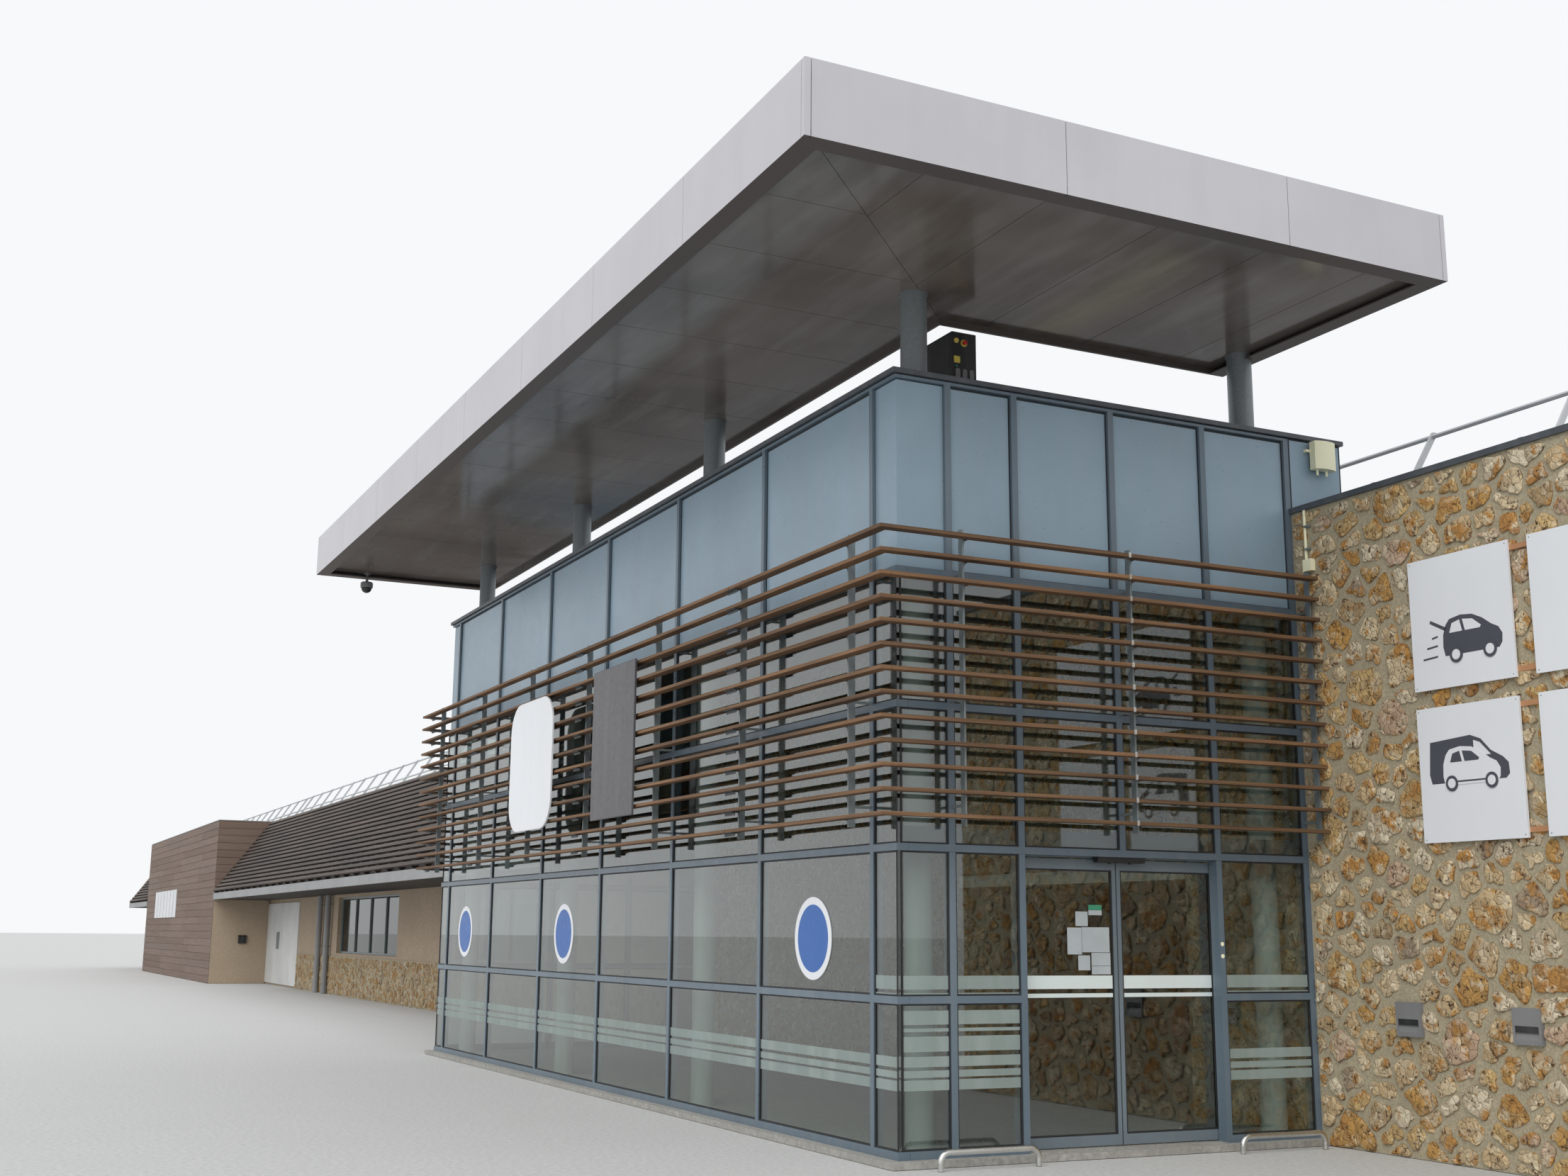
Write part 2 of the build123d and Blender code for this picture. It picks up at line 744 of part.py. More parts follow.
def back_wall():
    """Plain rear wall with its row of windows."""
    holes = [block_of(hall_back - shell_thick, hall_back, y, y + window_wide, window_low, window_high)
             for y in back_window_places()]
    wall = block_of(hall_back - shell_thick, hall_back, street_end, far_end, 0, stone_top)
    return wall_with_holes(wall, holes)


def near_party_wall():
    """Plain end of the hall on the street side."""
    return block_of(wall_back, hall_back - shell_thick, street_end, street_end + shell_thick, 0,
                    stone_top)


def far_party_wall():
    """Plain end where the building runs on, with the arcade roof's outline."""
    outline = Polyline((wing_face, 0, 0), (hall_back - shell_thick, 0, 0),
                       (hall_back - shell_thick, 0, stone_top), (ridge_x, 0, stone_top),
                       (eave_x, 0, eave_z), (eave_x, 0, arcade_ceiling),
                       (wing_face, 0, arcade_ceiling), close=True)
    wall = extrude(make_face(outline), shell_thick, dir=(0, 1, 0))
    return Pos(0, far_end - shell_thick, 0) * wall


def hall_roofs():
    """Flat roof of the hall beside the pavilion, of the wing and of the block."""
    z0, z1 = hall_roof_under, hall_roof_top
    inner = hall_back - shell_thick
    split = pavilion_len + wall_lap
    near = block_of(wall_back, inner, street_end + shell_thick, split, z0, z1)
    wing = block_of(wing_wall_back, inner, split, far_end - shell_thick, z0, z1)
    over = block_of(block_face + shell_thick, wing_wall_back, block_start + shell_thick,
                    block_end - shell_thick, z0, z1)
    return fuse([near, wing]), over


def raked(y0, y1, s0, s1, n0, n1):
    """A straight piece of the arcade roof: along the slope, across it and along Y."""
    run, rise = ridge_x - eave_x, ridge_z - eave_z
    length = hypot(run, rise)
    ux, uz = run / length, rise / length
    nx, nz = -uz, ux
    corners = [(eave_x + s * ux + n * nx, 0, eave_z + s * uz + n * nz)
               for s, n in ((s0, n0), (s1, n0), (s1, n1), (s0, n1))]
    face = make_face(Polyline(*corners, close=True))
    return Pos(0, y0, 0) * extrude(face, y1 - y0, dir=(0, 1, 0))


def slope_length():
    """Length of the arcade roof from eave to ridge."""
    return hypot(ridge_x - eave_x, ridge_z - eave_z)


def arcade_deck(y0, y1):
    """Board under the rafters."""
    return raked(y0, y1, 0, slope_length(), -rafter_deep - deck_board, -rafter_deep)


def arcade_rafters(y0, y1):
    """Raked timbers that carry the slats."""
    count = int((y1 - y0 - 2 * rafter_end_gap) // rafter_pitch) + 1
    step = (y1 - y0 - 2 * rafter_end_gap - rafter_thick) / (count - 1)
    starts = [y0 + rafter_end_gap + k * step for k in range(count)]
    return [raked(y, y + rafter_thick, 0, slope_length(), -rafter_deep, 0) for y in starts]


def arcade_slats(y0, y1):
    """Level slats on the rafters."""
    pitch = (slope_length() - roof_slat_tall) / (roof_slats - 1)
    return [raked(y0, y1, k * pitch, k * pitch + roof_slat_tall, 0, roof_slat_thick)
            for k in range(roof_slats)]


def arcade_beam(y0, y1):
    """Steel channel along the eave, open towards the back."""
    z1 = eave_beam_top
    z0 = z1 - eave_beam_tall
    x0, x1 = eave_x, eave_x + eave_beam_wide
    web = block_of(x0, x0 + eave_flange, y0, y1, z0, z1)
    top = block_of(x0, x1, y0, y1, z1 - eave_flange, z1)
    low = block_of(x0, x1, y0, y1, z0, z0 + eave_flange)
    return fuse([web, top, low])


def arcade_soffit(y0, y1):
    """Flat ceiling of the arcade."""
    z0 = arcade_ceiling
    return block_of(eave_x + eave_beam_wide, wing_face, y0, y1, z0, z0 + arcade_soffit_thick)


def downpipes():
    """Round pipes from the arcade's ceiling to the ground."""
    return [Pos(x, y, 0) * Cylinder(downpipe_radius, arcade_ceiling,
                                    align=(Align.CENTER, Align.CENTER, Align.MIN))
            for x, y in downpipe_places]


def ridge_coping(y0, y1):
    """Metal cap along the head of the slatted roof."""
    return block_of(ridge_x + roof_slat_thick, wing_wall_back, y0, y1, wing_top, wing_top + coping_thick)


def block_walls():
    """Front and two flanks of the timber-clad block."""
    t = shell_thick
    front = block_of(block_face, block_face + t, block_start, block_end, 0, block_top)
    x0 = block_face + t + joint_gap
    near = block_of(x0, wing_face, block_start, block_start + t, 0, block_top)
    far = block_of(x0, wing_face, block_end - t, block_end, 0, block_top)
    return [front, near, far]


def block_caps():
    """Thin metal cap on the block's walls."""
    t, o = shell_thick, cap_out
    z0, z1 = block_top, block_top + block_cap_thick
    x0, x1 = block_face + t + joint_gap, wing_face
    front = block_of(block_face - o, block_face + t, block_start - o, block_end + o, z0, z1)
    near = block_of(x0, x1, block_start - o, block_start + t, z0, z1)
    far = block_of(x0, x1, block_end - t, block_end + o, z0, z1)
    return [front, near, far]


def block_linings():
    """Smooth lining of the block's flanks, under the arcade's ceiling."""
    x1 = wing_face - plinth_thick - joint_gap
    z1 = arcade_ceiling - joint_gap
    return [block_of(block_face, x1, y, y + lining_thick, 0, z1)
            for y in (block_start - lining_thick, block_end)]


def block_posters():
    """Row of blank poster plates on the block."""
    return [block_of(block_face - poster_thick, block_face, y, y + poster_wide, poster_low,
                     poster_low + poster_tall)
            for y in (poster_first + k * poster_pitch for k in range(poster_count))]


def white_closure(y0, y1):
    """White panels that close a bay of the arcade."""
    step = (y1 - y0) / white_panels
    return [block_of(wing_face - plinth_thick, wing_face, y0 + k * step + white_gap,
                     y0 + (k + 1) * step, floor_top, white_top) for k in range(white_panels)]


def wing_plinth():
    """Stone facing at the foot of the arcade's wall."""
    return block_of(wing_face - plinth_thick, wing_face, pavilion_len + floor_lip, white_start, 0,
                    plinth_top)


def sign_boards():
    """White boards on the stone wall and the rails that carry them."""
    boards, rails = [], []
    x1 = wall_face - board_rail_thick
    for k in range(board_columns):
        y1 = board_first - k * board_pitch
        for z in board_lows:
            boards.append(block_of(x1 - board_thick, x1, y1 - board_wide, y1, z, z + board_tall))
    last = board_first - (board_columns - 1) * board_pitch - board_wide
    for z in board_lows:
        for edge in (z + board_rail_tall, z + board_tall - 2 * board_rail_tall):
            rails.append(block_of(x1, wall_face, last, board_first, edge, edge + board_rail_tall))
    return boards, rails


def wall_lights():
    """Wall lights low on the stone wall: plates with a wedge-shaped mouth that shines down."""
    face = wall_face - light_deep
    low, high = light_mouth
    made = []
    for k in range(light_count):
        y1 = light_first - k * light_pitch
        y0 = y1 - light_wide
        plate = block_of(face, wall_face, y0, y1, light_low, light_low + light_tall)
        mouth = Polyline((face, 0, light_low + low), (face, 0, light_low + high),
                         (face + light_mouth_deep, 0, light_low + high), close=True)
        cut = extrude(make_face(mouth), light_wide - 2 * light_rim, dir=(0, 1, 0))
        made.append(plate - Pos(0, y0 + light_rim, 0) * cut)
    return made


def conduit():
    """Cable pipe and its small box on the stone wall."""
    x = wall_face - conduit_radius
    pipe = Pos(x, conduit_y, conduit_low) * Cylinder(conduit_radius, stone_top - conduit_low,
                                                     align=(Align.CENTER, Align.CENTER, Align.MIN))
    dx, dy, dz = conduit_box
    side = conduit_y + conduit_radius
    box = block_of(wall_face - dx, wall_face, side - dy, side,
                   conduit_low - dz, conduit_low)
    return pipe + box


def antenna():
    """Cream aerial box with a bowed face, its two glands below, and the strap that holds it."""
    x0, y1, z0 = antenna_place
    dx, dy, dz = antenna_size
    radius, length = antenna_gland
    outline = Polyline((x0 + dx, y1 - dy), (x0 + dx, y1), (x0, y1), (x0, y1 - dy))
    bow = ThreePointArc((x0, y1 - dy), (x0 + dx / 2, y1 - dy - antenna_bulge), (x0 + dx, y1 - dy))
    box = Pos(0, 0, z0) * extrude(make_face(outline + bow), dz)
    glands = [Pos(x0 + share * dx, y1 - dy / 2, z0 - length)
              * Cylinder(radius, length, align=(Align.CENTER, Align.CENTER, Align.MIN))
              for share in (0.2, 0.65)]
    sx0, sx1, sz = antenna_strap
    strap = block_of(sx0, sx1, y1, y1 + antenna_strap_thick, sz, sz + antenna_strap_tall)
    arms = [block_of(x, x + antenna_strap_tall, y1 + antenna_strap_thick, 0, sz, sz + antenna_strap_tall)
            for x in (sx0, sx1 - antenna_strap_tall)]
    return fuse([box] + glands + [strap] + arms)


def equipment_case():
    """Dark case on the pavilion's roof, behind the first column."""
    dx, dy = case_size
    x0, y0 = case_place
    z0 = pavilion_roof_under + roof_thick
    return block_of(x0, x0 + dx, y0, y0 + dy, z0, canopy_under - case_headroom)


def tube(start, end, radius):
    """A round bar between two points."""
    path = Vector(*end) - Vector(*start)
    plane = Plane(origin=start, z_dir=path)
    return plane * Cylinder(radius, path.length, align=(Align.CENTER, Align.CENTER, Align.MIN))


def level_bar(x, z, y0, y1):
    """A rail along Y, with few sides."""
    section = Plane(origin=(x, y0, z), x_dir=(1, 0, 0), z_dir=(0, 1, 0))
    return extrude(section * RegularPolygon(rail_radius, rail_sides), y1 - y0)


def guard_rail(x, y0, y1):
    """Raked flat posts on feet, with a top and a middle rail through them."""
    count = int((y1 - y0) // rail_post_pitch) + 1
    step = (y1 - y0 - 2 * rail_over) / (count - 1)
    dx, dy, dz = rail_foot
    z0 = hall_roof_top
    half = rail_post_wide / 2
    head = 1 + 2 * rail_radius / rail_height
    outline = Polyline((x - half, 0, z0 + dz), (x + half, 0, z0 + dz),
                       (x + half + rail_lean * head, 0, z0 + rail_height * head),
                       (x - half + rail_lean * head, 0, z0 + rail_height * head), close=True)
    post = extrude(make_face(outline), rail_post_thick, dir=(0, 1, 0))
    pieces = []
    for k in range(count):
        y = y0 + rail_over + k * step
        pieces.append(block_of(x - dx / 2, x + dx / 2, y - dy / 2, y + dy / 2, z0, z0 + dz))
        pieces.append(Pos(0, y - rail_post_thick / 2, 0) * post)
    for share in (1.0, rail_mid):
        rx, rz = x + rail_lean * share, z0 + rail_height * share
        pieces.append(level_bar(rx, rz, y0, y1))
    return fuse(pieces)


def bump_rails():
    """Low bent tubes in front of the fixed glass beside the doors."""
    made = []
    for x0, x1 in bump_spans:
        corners = [(x0, -bump_out, 0), (x0, -bump_out, bump_height), (x1, -bump_out, bump_height),
                   (x1, -bump_out, 0)]
        path = FilletPolyline(*corners, radius=bump_bend)
        section = Plane(origin=corners[0], z_dir=(0, 0, 1)) * Circle(bump_radius)
        made.append(sweep(section, path=path))
    return made


def main():
    """Build and write every piece."""
    os.makedirs("parts", exist_ok=True)
    half = clearance / 2
    left_leaf = door_leaf(door_start - leaf_lap, door_mid - half)
    right_leaf = door_leaf(door_mid + half, door_end + leaf_lap)
    walls, panels, caps = band_walls(), band_panels(), band_coping()
    stones, lintel = stone_walls()
    boards, rails = sign_boards()
    floor, block_floor = hall_floor()
    roof, block_roof = hall_roofs()
    frames, panes = window_set(wing_face, 1, window_places())
    back_frames, back_panes = window_set(hall_back, -1, back_window_places())
    white_len = block_start - white_start
    spans = ((wing_start, block_start), (block_end, far_end - shell_thick))

    save("pavilion_floor", fuse([pavilion_floor(), door_threshold()]))
    save("glazing_frame", [left_frame(), back_frame()])
    save("door_frame", [front_frame_side(frame_corner, door_start + bar_wide / 2,
                                         (corner_bay, door_start)),
                        front_frame_side(door_end - bar_wide / 2, wall_face,
                                         (door_end, wall_face - bar_wide / 2)),
                        front_frame_top()])
    save("glazing_glass", left_glass() + back_glass() + front_glass())
    save("band_upstand", list(walls))
    save("band_panels", panels)
    save("band_coping", caps)
    save("pavilion_roof", pavilion_roof())
    save("columns", columns())
    save("louvre_slats", louvre_side() + louvre_front() + louvre_back())
    save("louvre_posts", louvre_posts_side() + louvre_posts_front() + louvre_posts_rear())
    save("canopy_beams", canopy_beams())
    save("canopy_deck", canopy_decks())
    save("canopy_fascia", canopy_fascias())
    save("canopy_soffit", canopy_soffit())
    save("door_leaf_left", left_leaf[0])
    save("door_glass_left", left_leaf[1])
    save("door_leaf_right", right_leaf[0])
    save("door_glass_right", right_leaf[1])
    save("door_operator", door_operator())
    save("bump_rails", bump_rails())
    save("stone_walls", stones)
    save("passage_lintel", lintel)
    save("stone_wall_coping", stone_coping())
    save("sign_boards", boards)
    save("sign_rails", rails)
    save("wall_lights", wall_lights())
    save("wall_conduit_and_antenna", [conduit(), antenna()])
    save("equipment_case", equipment_case())
    save("hall_floor", floor)
    save("hall_roof", roof)
    save("wing_walls", list(wing_walls()) + block_linings())
    save("wing_plinth", wing_plinth())
    save("white_panels", white_closure(white_start, block_start)
         + white_closure(block_end, block_end + white_len))
    save("window_frames", frames + back_frames)
    save("window_glass", panes + back_panes)
    save("back_wall", back_wall())
    save("party_walls", [near_party_wall(), far_party_wall()])
    save("arcade_boards", [f(*s) for s in spans for f in (arcade_deck, arcade_soffit)])
    save("arcade_rafters", [r for s in spans for r in arcade_rafters(*s)])
    save("arcade_slats", [r for s in spans for r in arcade_slats(*s)])
    save("arcade_beam_and_cap", [f(*s) for s in spans for f in (arcade_beam, ridge_coping)]
         + block_caps() + downpipes())
    save("block_walls", block_walls())
    save("block_slabs", [block_floor, block_roof])
    save("block_posters", block_posters())
    save("roof_guard_rail", [guard_rail(wall_back + rail_inset,
                                        street_end + shell_thick + rail_inset, pavilion_len),
                             guard_rail(wing_wall_back + rail_inset, wing_start, block_start)])


main()
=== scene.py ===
# %% [markdown]
# The supermarket's entrance, wing and block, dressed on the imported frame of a 1:2 scale model.
# Everything is in metres of the model, so half a metre here is one metre on the building.
# The frame brings each solid to its place. This file gives every solid its finish and adds
# what is too small for the solids: stones, boards, screws, seals and frosted stripes.

# %% Load the frame
import json
import math
import random

import bmesh
import bpy
from mathutils import Matrix, Vector, noise


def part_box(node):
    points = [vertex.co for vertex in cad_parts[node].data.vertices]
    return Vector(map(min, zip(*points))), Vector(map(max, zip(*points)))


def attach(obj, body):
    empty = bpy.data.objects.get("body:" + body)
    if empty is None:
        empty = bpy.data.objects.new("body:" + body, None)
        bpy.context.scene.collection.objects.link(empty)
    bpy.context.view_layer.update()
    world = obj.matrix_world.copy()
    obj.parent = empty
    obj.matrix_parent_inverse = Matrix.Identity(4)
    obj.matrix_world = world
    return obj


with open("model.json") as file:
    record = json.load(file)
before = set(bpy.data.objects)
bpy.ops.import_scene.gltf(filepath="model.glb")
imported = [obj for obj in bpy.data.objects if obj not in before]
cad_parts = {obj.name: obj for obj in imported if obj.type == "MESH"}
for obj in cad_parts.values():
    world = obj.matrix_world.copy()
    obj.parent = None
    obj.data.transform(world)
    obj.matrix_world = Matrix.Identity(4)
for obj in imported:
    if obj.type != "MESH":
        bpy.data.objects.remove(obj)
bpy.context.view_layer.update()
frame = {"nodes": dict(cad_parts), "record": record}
half = 0.5  # model metres for one real metre

# %% [markdown]
# The camera stands on the forecourt at eye height, close to the glass corner. Its place and
# turn were worked out from the building's own straight edges: the long glass side, the door
# face and the mullions give three vanishing points, and these fix the lens and the three angles.

# %% Camera
eye_place = Vector((-6.4697, -11.4090, 1.6411)) * half
eye_turn, eye_rise, eye_roll = 0.45042, 0.19745, 0.00814
lens_share = 2449.6 / 2212  # focal length as a share of the picture's width
sensor_wide = 36.0

eye = bpy.data.cameras.new("eye")
eye.sensor_width = sensor_wide
eye.lens = lens_share * sensor_wide
eye.clip_start, eye.clip_end = 0.05, 400
eye_object = bpy.data.objects.new("eye", eye)
bpy.context.collection.objects.link(eye_object)
turn = Matrix.Rotation(-eye_turn, 4, "Z") @ Matrix.Rotation(math.pi / 2 + eye_rise, 4, "X")
eye_object.matrix_world = Matrix.Translation(eye_place) @ turn @ Matrix.Rotation(eye_roll, 4, "Z")
bpy.context.scene.camera = eye_object
bpy.context.scene.view_settings.view_transform = "Standard"
print("camera", tuple(eye_place), "lens", round(eye.lens, 2))

# %% [markdown]
# An overcast day lights the real building, so the light here is one large pale sky and a weak,
# very wide sun that only gives the canopy a soft shade under it. The floor is pale and plain.
# What the camera, the glass and the metal see of the sky is white, and only matte surfaces are
# lit by the weaker sky. The sun comes over the left shoulder, because both seen sides are bright.

# %% Sky
sky_strength, sun_strength, sun_spread = 0.95, 1.45, 50.0
sun_way = Vector((0.56, 0.50, -0.66))
sky = bpy.data.worlds.new("sky")
sky.use_nodes = True
sky_nodes, sky_links = sky.node_tree.nodes, sky.node_tree.links
sky_nodes.clear()
sky_seen = sky_nodes.new("ShaderNodeBackground")
sky_seen.inputs["Color"].default_value = (0.93, 0.945, 0.96, 1)
sky_seen.inputs["Strength"].default_value = 1.0
sky_light = sky_nodes.new("ShaderNodeBackground")
sky_light.inputs["Color"].default_value = (0.95, 0.97, 1.0, 1)
sky_light.inputs["Strength"].default_value = sky_strength
rays = sky_nodes.new("ShaderNodeLightPath")
pick = sky_nodes.new("ShaderNodeMixShader")
world_out = sky_nodes.new("ShaderNodeOutputWorld")
seen = rays.outputs["Is Camera Ray"]
for kind in ("Is Glossy Ray", "Is Transmission Ray"):
    larger = sky_nodes.new("ShaderNodeMath")
    larger.operation = "MAXIMUM"
    sky_links.new(seen, larger.inputs[0])
    sky_links.new(rays.outputs[kind], larger.inputs[1])
    seen = larger.outputs[0]
sky_links.new(seen, pick.inputs[0])
sky_links.new(sky_light.outputs[0], pick.inputs[1])
sky_links.new(sky_seen.outputs[0], pick.inputs[2])
sky_links.new(pick.outputs[0], world_out.inputs["Surface"])
bpy.context.scene.world = sky
print("sky of strength", sky_strength)

# %% [markdown]
# A sun lamp's angle is its width as seen from the ground. At 50 degrees its shadows have no edge,
# which is how a bright patch of cloud lights a building.

# %% Soft sun and floor
sun = bpy.data.lights.new("soft_sun", "SUN")
sun.energy, sun.angle = sun_strength, math.radians(sun_spread)
sun.color = (1.0, 0.98, 0.95)
sun_object = bpy.data.objects.new("soft_sun", sun)
sun_object.rotation_euler = sun_way.to_track_quat("-Z", "Y").to_euler()
bpy.context.collection.objects.link(sun_object)

floor_reach = 700.0
bpy.ops.mesh.primitive_plane_add(size=2 * floor_reach, location=(0, 15, -0.002))
floor = bpy.context.object
floor.name = "floor"
print("sun of strength", sun_strength, "and floor made")

# %% [markdown]
# Every finish is a node material. Small helpers keep them short: one adds a node and fills its
# sockets, one makes a group with named sockets, and one makes a material round a Principled BSDF.

# %% Node helpers
def add(tree, kind, values=None, **settings):
    """Add a node, set its options, then fill its sockets with numbers or links."""
    made = tree.nodes.new("ShaderNode" + kind)
    for name, value in settings.items():
        setattr(made, name, value)
    for name, value in (values or {}).items():
        socket = made.inputs[name]
        if isinstance(value, bpy.types.NodeSocket):
            tree.links.new(value, socket)
        else:
            socket.default_value = value
    return made


def group(name, takes, gives):
    """An empty shader group with float inputs and the named outputs."""
    made = bpy.data.node_groups.new(name, "ShaderNodeTree")
    for socket, value in takes.items():
        item = made.interface.new_socket(socket, in_out="INPUT", socket_type="NodeSocketFloat")
        item.default_value = value
    for socket in gives:
        made.interface.new_socket(socket, in_out="OUTPUT", socket_type="NodeSocketFloat")
    start = made.nodes.new("NodeGroupInput")
    end = made.nodes.new("NodeGroupOutput")
    return made, start.outputs, end.inputs


def use(tree, made, **values):
    """Place a group in a tree with its own values. Underscores in names stand for spaces."""
    node = tree.nodes.new("ShaderNodeGroup")
    node.node_tree = made
    for name, value in values.items():
        node.inputs[name.replace("_", " ")].default_value = value
    return node


def blend(tree, mask, low, high):
    """Mix two colours by a mask."""
    made = tree.nodes.new("ShaderNodeMix")
    made.data_type = "RGBA"
    tree.links.new(mask, made.inputs["Factor"])
    for index, value in ((6, low), (7, high)):
        if isinstance(value, bpy.types.NodeSocket):
            tree.links.new(value, made.inputs[index])
        else:
            made.inputs[index].default_value = (*value, 1)
    return made.outputs[2]


def ramp(tree, source, low, high, a=0.0, b=1.0):
    """Map a range of a value to another, held at its ends."""
    made = add(tree, "MapRange", {"Value": source, "From Min": low, "From Max": high,
                                  "To Min": a, "To Max": b})
    return made.outputs[0]


def reckon(tree, operation, a, b=0.5):
    """What a Math node makes of one or two values."""
    return add(tree, "Math", {0: a, 1: b}, operation=operation).outputs[0]


def finish(name, rough=0.6, metal=0.0):
    """A new material: its tree, its Principled BSDF and the object's own coordinates."""
    made = bpy.data.materials.new(name)
    made.use_nodes = True
    tree = made.node_tree
    shader = tree.nodes["Principled BSDF"]
    shader.inputs["Roughness"].default_value = rough
    shader.inputs["Metallic"].default_value = metal
    place = tree.nodes.new("ShaderNodeTexCoord").outputs["Object"]
    return made, tree, shader, place


def relief(tree, shader, height, strength, distance):
    """Feed a height into the shader's normal."""
    bump = add(tree, "Bump", {"Height": height, "Strength": strength, "Distance": distance})
    tree.links.new(bump.outputs[0], shader.inputs["Normal"])
    return bump


# %% [markdown]
# Rain leaves pale and dark runs on sheet metal and glass. One group makes them: a noise that is
# stretched far along Z, times a slow blotchy noise, so that the runs come in patches.

# %% Group: rain runs
def make_runs():
    tree, takes, gives = group("rain runs", {"Width": 14.0, "Length": 0.6, "Patch": 1.2}, ["Mask"])
    place = add(tree, "TexCoord").outputs["Object"]
    size = add(tree, "CombineXYZ", {"X": takes["Width"], "Y": takes["Width"], "Z": takes["Length"]})
    far = add(tree, "VectorMath", {0: place, 1: size.outputs[0]}, operation="MULTIPLY")
    run = add(tree, "TexNoise", {"Vector": far.outputs[0], "Scale": 1.0, "Detail": 5.0})
    patch = add(tree, "TexNoise", {"Vector": place, "Scale": takes["Patch"], "Detail": 3.0})
    sharp = ramp(tree, run.outputs[0], 0.45, 0.72)
    tree.links.new(reckon(tree, "MULTIPLY", sharp, patch.outputs[0]), gives["Mask"])
    return tree


rain_runs = make_runs()
print("group", rain_runs.name)

# %% [markdown]
# Blotches are slow, soft changes of tone with a fine grain on top. No surface outdoors keeps one
# even colour, so nearly every finish here uses this group, each at its own scale.

# %% Group: blotches
def make_blotch():
    tree, takes, gives = group("blotches", {"Scale": 3.0, "Detail": 6.0}, ["Mask", "Fine"])
    place = add(tree, "TexCoord").outputs["Object"]
    big = add(tree, "TexNoise", {"Vector": place, "Scale": takes["Scale"], "Detail": takes["Detail"],
                                 "Roughness": 0.6})
    fine_scale = reckon(tree, "MULTIPLY", takes["Scale"], 23.0)
    fine = add(tree, "TexNoise", {"Vector": place, "Scale": fine_scale, "Detail": 4.0})
    tree.links.new(big.outputs[0], gives["Mask"])
    tree.links.new(fine.outputs[0], gives["Fine"])
    return tree


blotches = make_blotch()
print("group", blotches.name)

# %% [markdown]
# Timber grain is noise stretched along the board. Blender's wave texture could draw rings, but
# from some metres away a plank only shows streaks. A second, coarser noise gives each board a tone
# of its own, so that neighbours differ.

# %% Group: timber grain
def make_grain():
    """Timber grain that runs level: long along X and Y, short along Z."""
    tree, takes, gives = group("timber grain", {"Along": 1.6, "Across": 70.0}, ["Grain", "Board"])
    place = add(tree, "TexCoord").outputs["Object"]
    size = add(tree, "CombineXYZ", {"X": takes["Along"], "Y": takes["Along"], "Z": takes["Across"]})
    far = add(tree, "VectorMath", {0: place, 1: size.outputs[0]}, operation="MULTIPLY")
    grain = add(tree, "TexNoise", {"Vector": far.outputs[0], "Scale": 1.0, "Detail": 7.0,
                                   "Roughness": 0.65})
    step = add(tree, "CombineXYZ", {"X": 0.5, "Y": 0.5, "Z": 11.0})
    boards = add(tree, "VectorMath", {0: place, 1: step.outputs[0]}, operation="MULTIPLY")
    board = add(tree, "TexNoise", {"Vector": boards.outputs[0], "Scale": 1.0, "Detail": 1.0})
    tree.links.new(grain.outputs[0], gives["Grain"])
    tree.links.new(board.outputs[0], gives["Board"])
    return tree


timber_grain = make_grain()
print("groups", [g.name for g in bpy.data.node_groups])

# %% [markdown]
# Sheet metal and powder coat: a plain colour, a slightly different tone in slow blotches, faint
# rain runs and a little roughness change. Pictures could be wrapped round the pieces instead, but
# noise in the object's own coordinates has no seams and needs no unwrapping. One function makes
# all of them with their own values.

# %% Coated metals
run_wide, run_long = 14.0, 0.7
dirt_grey = (0.30, 0.30, 0.29)


def coated(name, colour, rough=0.42, metal=0.0, runs=0.25, scale=1.5, tone=0.10):
    """A coated metal or a plastic: its runs say how much rain has marked it."""
    made, tree, shader, place = finish(name, rough, metal)
    blotch = use(tree, blotches, Scale=scale)
    run = use(tree, rain_runs, Width=run_wide, Length=run_long)
    dark = tuple(c * (1 - tone) for c in colour)
    light = tuple(min(1, c * (1 + tone)) for c in colour)
    base = blend(tree, ramp(tree, blotch.outputs["Mask"], 0.35, 0.65), dark, light)
    share = reckon(tree, "MULTIPLY", run.outputs["Mask"], runs)
    tree.links.new(blend(tree, share, base, dirt_grey), shader.inputs["Base Color"])
    tree.links.new(ramp(tree, blotch.outputs["Fine"], 0.3, 0.7, rough - 0.05, rough + 0.06),
                   shader.inputs["Roughness"])
    relief(tree, shader, blotch.outputs["Mask"], 0.12, 0.004)
    return made


looks = {
    "bluegrey_metal": coated("blue grey bars", (0.118, 0.162, 0.202), 0.32),
    "band_metal": coated("blue grey band", (0.262, 0.368, 0.452), 0.32, runs=0.30, tone=0.07),
    "dark_cap": coated("dark metal cap", (0.070, 0.080, 0.092), 0.45),
    "door_metal": coated("door metal", (0.150, 0.190, 0.220), 0.35),
    "stainless": coated("stainless", (0.62, 0.62, 0.60), 0.28, metal=1.0, runs=0.1),
    "rail_orange": coated("orange brown steel", (0.46, 0.23, 0.11), 0.6, runs=0.3),
    "light_grey_box": coated("grey box", (0.20, 0.20, 0.205), 0.5),
    "cream_box": coated("cream plastic", (0.96, 0.93, 0.66), 0.5, runs=0.05, tone=0.03),
    "case_black": coated("black case", (0.018, 0.018, 0.02), 0.5),
    "white_panel": coated("white panel", (0.66, 0.67, 0.66), 0.45, runs=0.3),
    "window_metal": coated("window bars", (0.20, 0.235, 0.235), 0.4),
    "beam_steel": coated("steel channel", (0.25, 0.255, 0.26), 0.45, runs=0.5),
    "sign_white": coated("white board", (0.79, 0.81, 0.84), 0.34, runs=0.05, tone=0.02),
    "galvanised": coated("galvanised steel", (0.22, 0.25, 0.26), 0.42, metal=0.3, runs=0.25,
                         scale=9.0, tone=0.16),
}
print(len(looks), "coated finishes")

